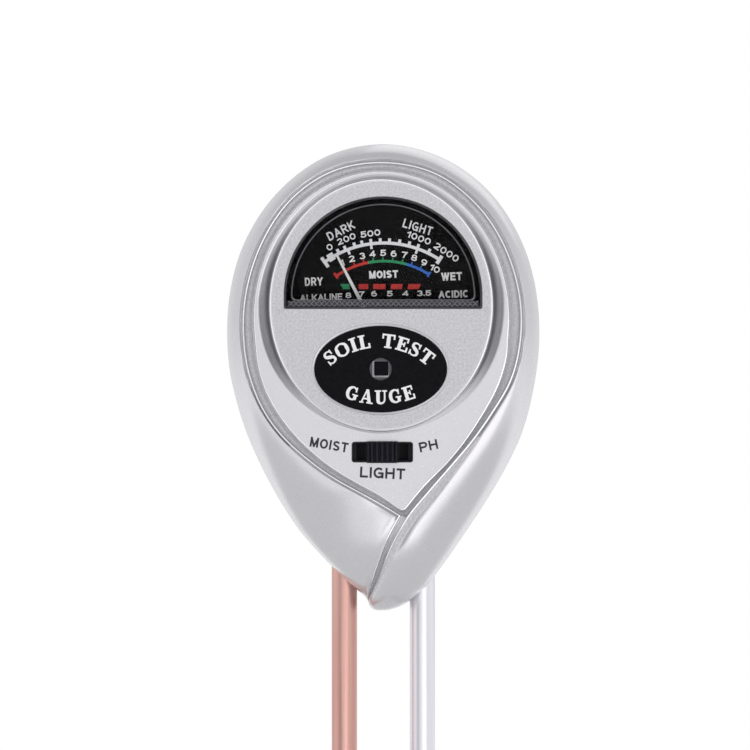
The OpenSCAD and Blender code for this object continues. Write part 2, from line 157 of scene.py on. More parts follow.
def at_depth(loop, depth):
    """Flat points (x, z) as points in space."""
    loop = np.asarray(loop, float)
    return np.stack([loop[:, 0], np.broadcast_to(depth, len(loop)), loop[:, 1]], 1)


def step(value, lo, hi):
    """0 below lo, 1 above hi, and a smooth rise between."""
    f = np.clip((np.asarray(value, float) - lo) / (hi - lo), 0, 1)
    return f * f * (3 - 2 * f)


def inside(points, loop):
    """Which of the points lie inside a closed loop."""
    p, a = np.asarray(points, float), np.asarray(loop, float)
    b = np.roll(a, -1, axis=0)
    x, z = p[:, 0][:, None], p[:, 1][:, None]
    crosses = (a[:, 1] > z) != (b[:, 1] > z)
    with np.errstate(divide="ignore", invalid="ignore"):
        edge_x = a[:, 0] + (z - a[:, 1]) * (b[:, 0] - a[:, 0]) / (b[:, 1] - a[:, 1])
    return (np.sum(crosses & (x < edge_x), axis=1) % 2) == 1


def triangles(loops, tolerance):
    """A flat triangle mesh with every loop's edges in it: (points, triangles, their middles)."""
    pts, edges = [], []
    for loop in loops:
        base, n = len(pts), len(loop)
        pts.extend(Vector((p[0], p[1])) for p in loop)
        edges.extend((base + i, base + (i + 1) % n) for i in range(n))
    verts, _, faces, *_ = delaunay_2d_cdt(pts, edges, [], 0, tolerance)
    co = np.array([tuple(v) for v in verts])
    tri = np.array([f for f in faces if len(f) == 3])
    return co, tri, co[tri].mean(1)


# ---------------------------------------------------------------- meshes

class Surface:
    """Points and faces in millimetres, welded into one mesh at the end."""

    def __init__(self):
        self.points, self.faces, self.slots = [], [], []

    def add(self, points, faces, slot=0):
        base = len(self.points)
        self.points.extend(tuple(float(c) for c in p) for p in points)
        self.faces.extend(tuple(base + i for i in f) for f in faces)
        self.slots.extend([slot] * len(faces))

    def rows(self, rows, closed=True, slot=0):
        """Quads between each row of points and the next."""
        n = len(rows[0])
        cols = n if closed else n - 1
        faces = [(r * n + i, r * n + (i + 1) % n, (r + 1) * n + (i + 1) % n, (r + 1) * n + i)
                 for r in range(len(rows) - 1) for i in range(cols)]
        self.add(np.concatenate(rows), faces, slot)

    def levels(self, pairs, slot=0):
        """Quads between outlines, each given with its depth."""
        self.rows([at_depth(loop, depth) for loop, depth in pairs], slot=slot)

    def flat(self, outer, holes, depth, slot=0):
        """A flat face at one depth, inside outer and outside every hole."""
        co, tri, mid = triangles([outer, *holes], 1e-7)
        keep = inside(mid, outer)
        for hole in holes:
            keep &= ~inside(mid, hole)
        self.add(at_depth(co, depth), tri[keep].tolist(), slot)

    def fan(self, loop, centre, slot=0):
        n = len(loop)
        self.add([*loop, centre], [(i, (i + 1) % n, n) for i in range(n)], slot)

    def prism(self, foot, top, d0, d1):
        """A closed solid from one flat outline to another."""
        self.levels([(foot, d0), (top, d1)])
        self.flat(foot, [], d0)
        self.flat(top, [], d1)

    def solid(self, flat_points, faces, d0, d1, slot=0):
        """A closed solid between two depths over a flat mesh of points (x, z)."""
        p = np.asarray(flat_points, float)
        n = len(p)
        self.add(at_depth(p, d1), faces, slot)
        self.add(at_depth(p, d0), [tuple(reversed(f)) for f in faces], slot)
        count = {}
        for f in faces:
            for i in range(len(f)):
                a, b = f[i], f[(i + 1) % len(f)]
                count.setdefault((min(a, b), max(a, b)), []).append((a, b))
        rim = [e[0] for e in count.values() if len(e) == 1]
        both = np.concatenate([at_depth(p, d1), at_depth(p, d0)])
        self.add(both, [(b, a, a + n, b + n) for a, b in rim], slot)

    def build(self, name, materials, weld=2e-4, sharp=32.0):
        mesh = bpy.data.meshes.new(name)
        co = np.array(self.points)
        mesh.from_pydata((np.stack([co[:, 0], -co[:, 1], co[:, 2]], 1) * MM).tolist(), [], self.faces)
        for m in materials:
            mesh.materials.append(m)
        mesh.polygons.foreach_set("material_index", self.slots)
        bm = bmesh.new()
        bm.from_mesh(mesh)
        bmesh.ops.remove_doubles(bm, verts=bm.verts, dist=weld * MM)
        bmesh.ops.dissolve_degenerate(bm, edges=bm.edges, dist=weld * MM * 0.5)
        bmesh.ops.recalc_face_normals(bm, faces=bm.faces)
        bm.to_mesh(mesh)
        bm.free()
        obj = bpy.data.objects.new(name, mesh)
        bpy.context.scene.collection.objects.link(obj)
        shade(obj, sharp)
        return obj


def shade(obj, sharp=32.0):
    obj.data.shade_smooth()
    obj.data.set_sharp_from_angle(angle=math.radians(sharp))


def cut(obj, cutters):
    """obj less each cutter, as one clean mesh."""
    for c in cutters:
        mod = obj.modifiers.new("cut", "BOOLEAN")
        mod.operation, mod.object, mod.solver = "DIFFERENCE", c, "MANIFOLD"
    bpy.context.view_layer.update()
    made = bpy.data.meshes.new_from_object(obj.evaluated_get(bpy.context.evaluated_depsgraph_get()))
    obj.modifiers.clear()
    obj.data = made
    made.name = obj.name
    for c in cutters:
        bpy.data.objects.remove(c)
    shade(obj)
    return obj


def turn(s, profile, centre, upright=False, count=64):
    """A solid turned about depth, or about z when upright: profile is (radius, along) end to end."""
    a = np.linspace(0, 2 * np.pi, count, endpoint=False)
    rows, ends = [], []
    for r, h in profile:
        u, v, w = centre[0] + r * np.cos(a), centre[1] + r * np.sin(a), np.full(count, h)
        rows.append(np.stack([u, v, w] if upright else [u, w, v], 1))
        ends.append((*centre, h) if upright else (centre[0], h, centre[1]))
    s.rows(rows)
    s.fan(rows[0], ends[0])
    s.fan(rows[-1], ends[-1])


def tubes(name, specs):
    """Plain cylinders along depth, each (centre, radius, from, to)."""
    s = Surface()
    for centre, radius, d0, d1 in specs:
        turn(s, [(radius, d0), (radius, d1)], centre)
    return s.build(name, [])


def finish_piece(obj, body, slot, *replaced):
    """Ties a piece to its body and hides the CAD nodes it stands for; the slot it is given is not used."""
    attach(obj, body)
    if replaced:
        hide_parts(*replaced)
    return obj


# ---------------------------------------------------------------- materials

def material(name, base, rough, metallic=0.0, **sockets):
    """A principled material with its fixed values on its own sockets."""
    mat = bpy.data.materials.new(name)
    mat.use_nodes = True
    shader = mat.node_tree.nodes["Principled BSDF"]
    shader.inputs["Base Color"].default_value = (*base, 1)
    shader.inputs["Roughness"].default_value = rough
    shader.inputs["Metallic"].default_value = metallic
    for key, value in sockets.items():
        shader.inputs[key.replace("_", " ")].default_value = value
    mat.diffuse_color = (*base, 1)
    return mat


def link(mat, *path):
    """Adds nodes to a material: each is (type, {settings}, {input: value or (node, output)})."""
    tree = mat.node_tree
    made = []
    for kind, settings, inputs in path:
        node = tree.nodes.new(kind)
        for key, value in settings.items():
            setattr(node, key, value)
        for key, value in inputs.items():
            if isinstance(value, tuple) and len(value) == 2 and isinstance(value[0], int):
                tree.links.new(made[value[0]].outputs[value[1]], node.inputs[key])
            else:
                node.inputs[key].default_value = value
        made.append(node)
    return made


MADE = {}


def paint(name, rough, metallic, scale, low, high, bump=0.0, distance=0.0002, stretch=(1, 1, 1),
          **sockets):
    """A material whose colour varies with fine noise, and its roughness too where that is a pair."""
    varied = isinstance(rough, tuple)
    mat = MADE[name] = material(name, high, rough[0] if varied else rough, metallic, **sockets)
    tree = mat.node_tree
    shader = tree.nodes["Principled BSDF"]
    _, _, noise, ramp = link(
        mat, ("ShaderNodeTexCoord", {}, {}),
        ("ShaderNodeMapping", {}, {"Vector": (0, "Object"), "Scale": stretch}),
        ("ShaderNodeTexNoise", {},
         {"Vector": (1, "Vector"), "Scale": scale, "Detail": 3.0, "Roughness": 0.6}),
        ("ShaderNodeValToRGB", {}, {"Fac": (2, "Fac")}))
    for end, place, colour in zip(ramp.color_ramp.elements, (0.3, 0.7), (low, high)):
        end.position, end.color = place, (*colour, 1)
    tree.links.new(ramp.outputs["Color"], shader.inputs["Base Color"])
    if varied:
        mapper, = link(mat, ("ShaderNodeMapRange", {}, {"To Min": rough[0], "To Max": rough[1]}))
        tree.links.new(noise.outputs["Fac"], mapper.inputs["Value"])
        tree.links.new(mapper.outputs["Result"], shader.inputs["Roughness"])
    if bump:
        b, = link(mat, ("ShaderNodeBump", {}, {"Strength": bump, "Distance": distance}))
        tree.links.new(noise.outputs["Fac"], b.inputs["Height"])
        tree.links.new(b.outputs["Normal"], shader.inputs["Normal"])
    return mat


def faded(mat, plain, axis, start, full):
    """Turns a material's colour to plain below start on one axis of the object's own space."""
    tree = mat.node_tree
    shader = tree.nodes["Principled BSDF"]
    own = shader.inputs["Base Color"].links[0].from_socket
    *_, mix = link(
        mat, ("ShaderNodeTexCoord", {}, {}), ("ShaderNodeSeparateXYZ", {}, {"Vector": (0, "Object")}),
        ("ShaderNodeMath", {"operation": "ABSOLUTE"}, {0: (1, axis)}),
        ("ShaderNodeMapRange", {"interpolation_type": "SMOOTHSTEP"},
         {"Value": (2, "Value"), "From Min": start, "From Max": full}),
        ("ShaderNodeMix", {"data_type": "RGBA"}, {0: (3, "Result"), 6: (*plain, 1)}))
    tree.links.new(own, mix.inputs[7])
    tree.links.new(mix.outputs[2], shader.inputs["Base Color"])


# Each: name, roughness, metallic, size of the grain, its two colours, and its height
silver = paint("silver_paint", (0.23, 0.29), 0.65, 3600, (0.67, 0.67, 0.69), (0.74, 0.74, 0.76), 0.02,
               0.00003)
sanded = paint("silver_textured", (0.44, 0.56), 0.4, 2200, (0.54, 0.54, 0.56), (0.75, 0.75, 0.77), 0.3,
               0.00006)
# Painted shade on the moat's slope round the disc: darker silver at its sides, fading to plain silver
# towards the middle, below about 41 mm and above about 84 mm up
painted_shade = paint("silver_painted_shade", (0.3, 0.4), 0.6, 3000, (0.3, 0.3, 0.32), (0.37, 0.37, 0.39), 0.1, 0.00004)
for axis, start, full in (("X", 0.0085, 0.018), ("Z", 0.041, 0.053), ("Z", 0.084, 0.066)):
    faded(painted_shade, (0.68, 0.68, 0.7), axis, start, full)
# Painted highlight: near-white, glossy silver on the crown of the lip's bead and on the island's rounded
# edge
painted_highlight = paint("silver_painted_highlight", 0.16, 1.0, 1200, (0.9, 0.9, 0.91), (0.97, 0.97, 0.98))
# Painted highlight on the disc's rounded edge, dimming to grey below about 41 to 54 mm up
disc_edge_highlight = paint("silver_disc_edge_painted_highlight", 0.2, 0.9, 1200, (0.9, 0.9, 0.91), (0.97, 0.97, 0.98))
faded(disc_edge_highlight, (0.6, 0.6, 0.62), "Z", 0.041, 0.054)
# Painted shade: dark silver in the crease beside the lip's bead and on the slope from the bead into the
# groove
crease_shade = paint("silver_crease_painted_shade", 0.4, 0.5, 1500, (0.32, 0.32, 0.33), (0.4, 0.4, 0.41))
# Painted shade: dark grey on the wall of the window's opening
window_wall_shade = paint("window_wall_shade", 0.42, 0.4, 1500, (0.13, 0.13, 0.14), (0.19, 0.19, 0.2), 0.1)
steel = paint("steel", 0.3, 1.0, 900, (0.48, 0.48, 0.49), (0.6, 0.6, 0.61), 0.05, stretch=(1, 1, 0.1))
clear = paint("window_plastic", 0.02, 0.0, 60, (0.97, 0.975, 0.98), (1.0, 1.0, 1.0),
              Transmission_Weight=1.0, IOR=1.07)
# Painted shade: grey on the clear lens's bevelled pad and on its moulded crosses
bevel_shade = paint("window_bevel_painted_shade", 0.35, 0.0, 900, (0.13, 0.13, 0.15), (0.2, 0.2, 0.22))
strip_dark = paint("window_strip", 0.22, 0.0, 900, (0.014, 0.014, 0.017), (0.03, 0.03, 0.034))
label_black = paint("label_black", (0.24, 0.34), 0.0, 1500, (0.004, 0.004, 0.005), (0.008, 0.008, 0.01),
                    0.04, 0.00003, Specular_IOR_Level=0.05)
white_ink = paint("white_ink", 0.5, 0.0, 1800, (0.92, 0.92, 0.92), (0.97, 0.97, 0.97))
# Silver print, also used as a painted highlight on the walls of the light cell's square well
silver_ink_and_highlight = paint("silver_ink_and_highlight", 0.5, 0.1, 1800, (0.9, 0.9, 0.93), (0.98, 0.98, 1.0))
black_ink = paint("black_ink", 0.5, 0.0, 1500, (0.008, 0.008, 0.01), (0.02, 0.02, 0.022))
red_ink = paint("red_ink", 0.5, 0.0, 1500, (0.6, 0.018, 0.012), (0.72, 0.03, 0.02))
green_ink = paint("green_ink", 0.5, 0.0, 1500, (0.008, 0.29, 0.1), (0.015, 0.38, 0.14))
blue_ink = paint("blue_ink", 0.5, 0.0, 1500, (0.02, 0.14, 0.6), (0.03, 0.2, 0.72))
grey = paint("grey_plastic", 0.4, 0.0, 800, (0.085, 0.085, 0.09), (0.12, 0.12, 0.125), 0.1)
paint("cell_dark", 0.16, 0.0, 400, (0.004, 0.004, 0.006), (0.01, 0.008, 0.014), Specular_IOR_Level=0.06)
paint("dial_black", (0.42, 0.55), 0.0, 1800, (0.003, 0.003, 0.0035), (0.006, 0.006, 0.0065), 0.06,
      0.00003, Specular_IOR_Level=0.08)
knob_black = paint("black_plastic", (0.36, 0.5), 0.0, 1500, (0.006, 0.006, 0.011), (0.012, 0.012, 0.021),
                   0.12, 0.00005, Specular_IOR_Level=0.22)
paint("magnet", 0.35, 0.9, 700, (0.09, 0.09, 0.1), (0.16, 0.16, 0.17), 0.1)
paint("brass", 0.28, 1.0, 700, (0.64, 0.44, 0.17), (0.78, 0.55, 0.24), 0.06)
paint("soft_iron", 0.4, 1.0, 600, (0.28, 0.28, 0.29), (0.4, 0.4, 0.41), 0.1)
paint("coil_copper", 0.35, 0.9, 500, (0.5, 0.18, 0.07), (0.7, 0.3, 0.14), 0.4, stretch=(1, 10, 1))
paint("pointer_white", 0.45, 0.0, 900, (0.9, 0.9, 0.89), (0.96, 0.96, 0.95))
paint("bronze", 0.3, 1.0, 900, (0.44, 0.26, 0.1), (0.56, 0.34, 0.15))
paint("board_green", 0.35, 0.0, 500, (0.015, 0.12, 0.045), (0.03, 0.2, 0.08), 0.1)
paint("resistor_tan", 0.4, 0.0, 700, (0.44, 0.28, 0.13), (0.56, 0.38, 0.2), 0.1)
copper, aluminium = [paint(name, (0.26, 0.4), 1.0, 900, low, high, 0.15, 0.00005, (1, 1, 0.02))
                     for name, low, high in (("copper", (0.63, 0.34, 0.29), (0.79, 0.49, 0.43)),
                                             ("aluminium", (0.8, 0.8, 0.85), (0.92, 0.92, 0.96)))]
for name, colour in (("wire_red", (0.45, 0.02, 0.015)), ("wire_black", (0.01, 0.01, 0.012)),
                     ("wire_yellow", (0.6, 0.4, 0.02)), ("wire_blue", (0.02, 0.08, 0.4))):
    paint(name, 0.4, 0.0, 300, tuple(x * 0.85 for x in colour), colour, 0.1)


# ---------------------------------------------------------------- head outlines

# Rows from the tip of the seam up the left side, over the top and down the right side:
# a point on the head's edge, and the point on the lip (or on the seam) that goes with it
ROWS = np.array([
    (-3.2, 2.1, -3.2, 2.1), (-4.0, 3.1, -2.85, 3.9), (-5.6, 4.4, -2.35, 5.9), (-7.6, 6.3, -1.6, 8.3),
    (-9.6, 8.15, -0.7, 10.9), (-11.6, 10.1, 0.3, 13.7), (-13.3, 11.9, 1.6, 16.5),
    (-15.2, 14.0, 3.5, 19.9), (-17.4, 16.6, -0.3, 22.2), (-19.4, 19.6, -4.2, 24.4),
    (-21.8, 23.5, -9.5, 27.3), (-25.0, 29.5, -15.6, 31.7), (-28.0, 36.3, -20.9, 36.7),
    (-30.5, 44.4, -25.2, 43.4), (-31.6, 50.0, -27.4, 49.9), (-32.0, 55.5, -28.15, 55.5),
    (-31.6, 64.0, -28.0, 63.2), (-28.4, 75.6, -24.9, 74.4), (-21.4, 86.0, -18.6, 84.0),
    (-12.1, 92.9, -10.4, 89.6), (0.0, 95.6, 0.2, 91.4), (12.1, 92.8, 11.0, 89.0),
    (21.5, 86.1, 19.2, 82.6), (28.3, 75.8, 24.8, 73.9), (31.4, 65.0, 27.6, 64.3),
    (31.95, 55.0, 27.75, 56.0), (30.5, 44.0, 25.6, 47.1), (28.5, 36.6, 22.3, 41.4),
    (25.9, 30.8, 18.6, 36.0), (21.3, 22.8, 13.6, 30.0), (16.6, 15.7, 9.1, 24.8), (11.6, 8.5, 4.9, 19.7),
    (8.9, 5.1, 3.4, 17.1), (6.4, 2.75, 2.2, 14.9), (4.0, 1.1, 1.2, 12.8), (1.5, 0.22, 0.4, 10.8),
    (-0.7, 0.0, -0.6, 8.0), (-2.0, 0.22, -1.6, 5.6), (-2.85, 0.95, -2.5, 3.6), (-3.2, 2.1, -3.2, 2.1)])
V_LEFT, V_RIGHT = 7, 31
SEAM_STEPS, MIDDLE_STEPS, GAP_STEPS, DENSE = 60, 720, 14, 2400
POWER, DOME_POWER = 2.3, 0.85
PART_BEVEL, PART_INSET = 0.22, 0.16


def head_rows():
    """Edge and lip points sample by sample, with the place of each along the seam."""
    t = arc_length(ROWS[:, :2]) * 0.5 + arc_length(ROWS[:, 2:]) * 0.5
    edge = np.concatenate([ROWS[-4:-1, :2], ROWS[:, :2], ROWS[1:4, :2]])
    te = np.concatenate([t[0] - t[-1] + t[-4:-1], t, t[-1] + t[1:4] - t[0]])
    q = np.sin(np.linspace(0, 1, SEAM_STEPS + 1) * np.pi / 2) ** 0.87
    first = t[V_LEFT] - (t[V_LEFT] - t[0]) * q[::-1]
    middle = np.linspace(t[V_LEFT], t[V_RIGHT], MIDDLE_STEPS)
    last = t[V_RIGHT] + (t[-1] - t[V_RIGHT]) * q
    at = np.concatenate([first, middle[1:-1], last])
    dense_t = np.linspace(t[0], t[-1], DENSE)
    raw = hermite(edge, te, dense_t)[:-1]
    dense = blur(raw, 14, closed=True)
    # The foot keeps its small notch, where the leaves part
    dense += (blur(raw, 4, closed=True) - dense) * (1 - step(dense[:, 1], 4, 9))[:, None]
    dense = np.concatenate([dense, dense[:1]])
    outer = np.stack([np.interp(at, dense_t, dense[:, c]) for c in (0, 1)], 1)
    low = hermite(ROWS[:V_LEFT + 1, 2:], t[:V_LEFT + 1], first)
    high_t = np.linspace(t[V_LEFT], t[-1], DENSE)
    high = blur(hermite(ROWS[V_LEFT:, 2:], t[V_LEFT:], high_t), 14)
    high_at = np.concatenate([middle[1:-1], last])
    high = np.stack([np.interp(high_at, high_t, high[:, c]) for c in (0, 1)], 1)
    inner = np.concatenate([low, high])
    seam = np.concatenate([q[::-1], np.zeros(len(middle) - 2), q])
    return outer, inner, seam, len(first) - 1, len(first) + len(middle) - 2


edge_line, lip_line, seam_q, i_left, i_right = head_rows()
n_rows = len(edge_line)
span = np.linalg.norm(edge_line - lip_line, axis=1)
lip_depth = (LIP_D - PART_BEVEL) * np.maximum(1 - seam_q**POWER, 0) ** (1 / POWER)
fade = lip_depth / (LIP_D - PART_BEVEL)
on_right = np.arange(n_rows) > n_rows * 0.6
on_left_leaf = np.arange(n_rows) < i_left
lip_z = lip_line[:, 1]
# The bead runs all round the lip and down the right leaf's side of the seam
BEAD, BEAD_AT, BEAD_WIDE = 0.3, 0.16, 0.27
bead = BEAD * np.where(on_left_leaf, 0.45 * step(lip_z, 9, 15), 1.0) * fade
# The crease beside it moves out into the right leaf towards the foot of the seam
CREASE, NARROW = 0.42, 0.7
crease_at = np.where(on_right, np.interp(lip_z, [12, 18, 26, 37], [1.9, 1.9, 1.5, 0.66]), 0.62)
crease_wide = np.where(on_right, np.interp(lip_z, [18, 26, 37], [0.7, 0.5, 0.2]), 0.17)
crease = CREASE * np.where(on_left_leaf, 0.0, np.where(on_right, step(lip_z, 12.5, 17.5), 1.0))
ridge = np.where(on_right, 1 - step(lip_z, 22, 34), 0.0) * 0.22 * fade
# The lip sinks towards the V on its left, and stays low down the left leaf
SINK = 0.75
near_v = 1 - step(lip_line[i_left, 0] - lip_line[:, 0], 0.5, 9.0)
near_v = np.where(on_right | (lip_z > 40), 0.0, near_v)
sink = np.where(on_right, 0.0, SINK * np.where(on_left_leaf, np.minimum(1, fade * 1.3), near_v))
# The left leaf is filled out a little where its rows fan apart
row_mid = (edge_line + lip_line) / 2
from_v = np.linalg.norm(row_mid - row_mid[i_left], axis=1)
fill_out = 1 + 0.14 * np.exp(-(from_v / np.where(on_left_leaf, 1.5, 2.2)) ** 2)


def front_height(q, s):
    """Depth of the outer face at share q and distance s from the lip to the edge."""
    d = PART_BEVEL + lip_depth * np.maximum(1 - q ** (POWER * fill_out), 0) ** (1 / POWER)
    d = d + bead * np.exp(-((s - BEAD_AT) / BEAD_WIDE) ** 4)
    d = d - crease * np.exp(-((s - crease_at) / crease_wide) ** 2)
    return d + ridge * np.exp(-(s / 1.7) ** 2) - sink * np.exp(-(s / 3.2) ** 2)


def evened(plan, depth, dist):
    """Depths near the V on the left leaf, each read from a plane fitted to those about it."""
    centre, full, reach, sigma = lip_line[i_left] - [5.0, 2.0], 8.0, 13.0, 1.7
    bead_end = 0.75
    off = np.linalg.norm(plan - centre, axis=2)
    left = np.arange(n_rows) < n_rows * 0.4
    source = left & (off < reach + 3) & (dist > bead_end)
    (x, z), d = plan[source].T, depth[source]
    terms = np.stack([np.ones_like(x), x, z, x * x, x * z, z * z, d, d * x, d * z], 1)
    out = depth.copy()
    for r in range(len(plan)):
        at = np.nonzero(left & (off[r] < reach) & (dist[r] > bead_end))[0]
        p = plan[r, at]
        w = np.exp(-((x - p[:, :1]) ** 2 + (z - p[:, 1:]) ** 2) / (2 * sigma**2))
        m = w @ terms
        fit = np.linalg.solve(m[:, [0, 1, 2, 1, 3, 4, 2, 4, 5]].reshape(-1, 3, 3), m[:, 6:9, None])[:, :, 0]
        flat = fit[:, 0] + fit[:, 1] * p[:, 0] + fit[:, 2] * p[:, 1]
        share = (1 - step(off[r, at], full, reach)) * step(dist[r, at], bead_end, 2.6)
        out[r, at] += (flat - depth[r, at]) * share
    return out


def front_skin(s):
    """The dome from the lip to the parting plane, and the step of the seam."""
    near = np.array([0, .05, .1, .15, .2, .26, .32, .38, .44, .49, .54, .58, .62, .66, .7, .75, .81, .88,
                     .97, 1.1, 1.25, 1.4, 1.55, 1.7, 1.85, 2.0, 2.2, 2.45, 2.75, 3.1])
    scale = np.minimum(1, span / 6.0)
    q0 = np.clip(near[-1] * scale / np.maximum(span, 1e-6), 0, 0.95)
    rows = [(np.where(span > 1e-6, a * scale / np.maximum(span, 1e-6), 0), a * scale) for a in near]
    start = np.arcsin(np.clip(q0 ** (POWER / 2), 0, 1))
    for k in np.linspace(0, 1, 27)[1:]:
        q = np.sin(start + (np.pi / 2 - start) * k) ** (2 / POWER)
        rows.append((q, q * span))
    plan = np.array([lip_line + (edge_line - lip_line) * q[:, None] for q, _ in rows])
    depth = np.array([front_height(q, dist) for q, dist in rows])
    depth = evened(plan, depth, np.array([dist for _, dist in rows]))
    made = [at_depth(p, d) for p, d in zip(plan, depth)]
    # The shell steps in a little where it meets the other one
    under = edge_line[:-1] - outward(edge_line[:-1]) * PART_INSET
    under = np.concatenate([under, under[:1]])
    made.append(at_depth(under, 0.0))
    crown, shade_from, shade_to, sandy_to, band_z = 6, 9, 14, 25, 34
    narrow_end = i_left + int(np.argmax(crease_at[i_left:] > NARROW))
    narrow_from = i_left + int(np.argmax(lip_z[i_left:] > band_z))
    # Painted highlight on the bead's crown rows (slot 3); painted shade in the crease rows (slot 6), from
    # the left side's band over the top to where the crease moves out into the right leaf
    s.rows(made[:crown], closed=False, slot=3)
    s.rows(made[crown - 1:shade_from + 1], closed=False)
    s.rows([r[:narrow_from + 1] for r in made[shade_from:shade_to + 1]], closed=False)
    s.rows([r[narrow_from:narrow_end + 1] for r in made[shade_from:shade_to + 1]], closed=False, slot=6)
    # The sandy band beside the seam widens as it goes down the right leaf
    for r in range(shade_from, sandy_to):
        lowest = band_z - 4.5 * (near[r] - near[shade_from])
        sandy = i_left + int(np.argmax(on_right[i_left:] & (lip_z[i_left:] < lowest)))
        plain = narrow_end if r < shade_to else 0
        s.rows([m[plain:sandy + 1] for m in made[r:r + 2]], closed=False)
        s.rows([m[sandy:] for m in made[r:r + 2]], closed=False, slot=1)
    s.rows(made[sandy_to:], closed=False)
    # The seam's wall drops from the right leaf's ridge to the left leaf
    right, left = made[0][i_right:], made[0][:i_left + 1][::-1]
    fall = left[:, 1] - right[:, 1]
    hollow = 1.15 * np.minimum(1, fade[i_right:] * 1.6) * (1 - 0.7 * step(right[:, 2], 11, 19))
    wall = []
    for k in range(GAP_STEPS + 1):
        f = k / GAP_STEPS
        p = right + (left - right) * f
        p[:, 1] = right[:, 1] + fall * step(f, 0.0, 0.8) - hollow * math.sin(math.pi * f) ** 0.8
        wall.append(p)
    s.rows(wall, closed=False)
    gap = np.array([w[0] for w in wall])
    return under, np.concatenate([made[0][i_left:i_right + 1], gap[1:-1]])


ISLAND_TOP, ISLAND_R = (-0.35, 60.0), (25.9, 29.7)
ISLAND_RIGHT = [(25.2, 53.2), (24.0, 48.1), (22.3, 44.1), (19.7, 39.6), (16.6, 34.9), (12.8, 30.3),
                (8.4, 25.9)]
ISLAND_LEFT = [(-0.6, 23.9), (-5.2, 26.4), (-11.0, 30.0), (-15.2, 33.5), (-18.8, 37.2), (-21.7, 41.2),
               (-23.9, 45.3), (-25.3, 49.9)]
ISLAND_TIP = (4.05, 20.55)


def island_outline():
    """The raised teardrop's edge, from its tip up the left side and back, as dense points."""
    top = [(ISLAND_TOP[0] + ISLAND_R[0] * math.cos(a), ISLAND_TOP[1] + ISLAND_R[1] * math.sin(a))
           for a in np.radians(np.arange(188, -9, -7))]
    p = np.array([ISLAND_TIP, *ISLAND_LEFT, *top, *ISLAND_RIGHT, ISLAND_TIP])
    t = arc_length(p)
    loop = blur(hermite(p, t, np.linspace(0, t[-1], 3000)[:-1]), 13, closed=True)
    return np.concatenate([loop, loop[:1]])


def match(outer, target):
    """For each point of a closed loop, the point of target (open, ends meeting) beside it."""
    t = arc_length(target)
    best = np.array([t[np.argmin(np.sum((target - p) ** 2, axis=1))] for p in outer])
    half = len(best) // 2
    best[:half][best[:half] > t[-1] * 0.75] = 0
    best[half:][best[half:] < t[-1] * 0.25] = t[-1]
    return t, np.maximum.accumulate(best)


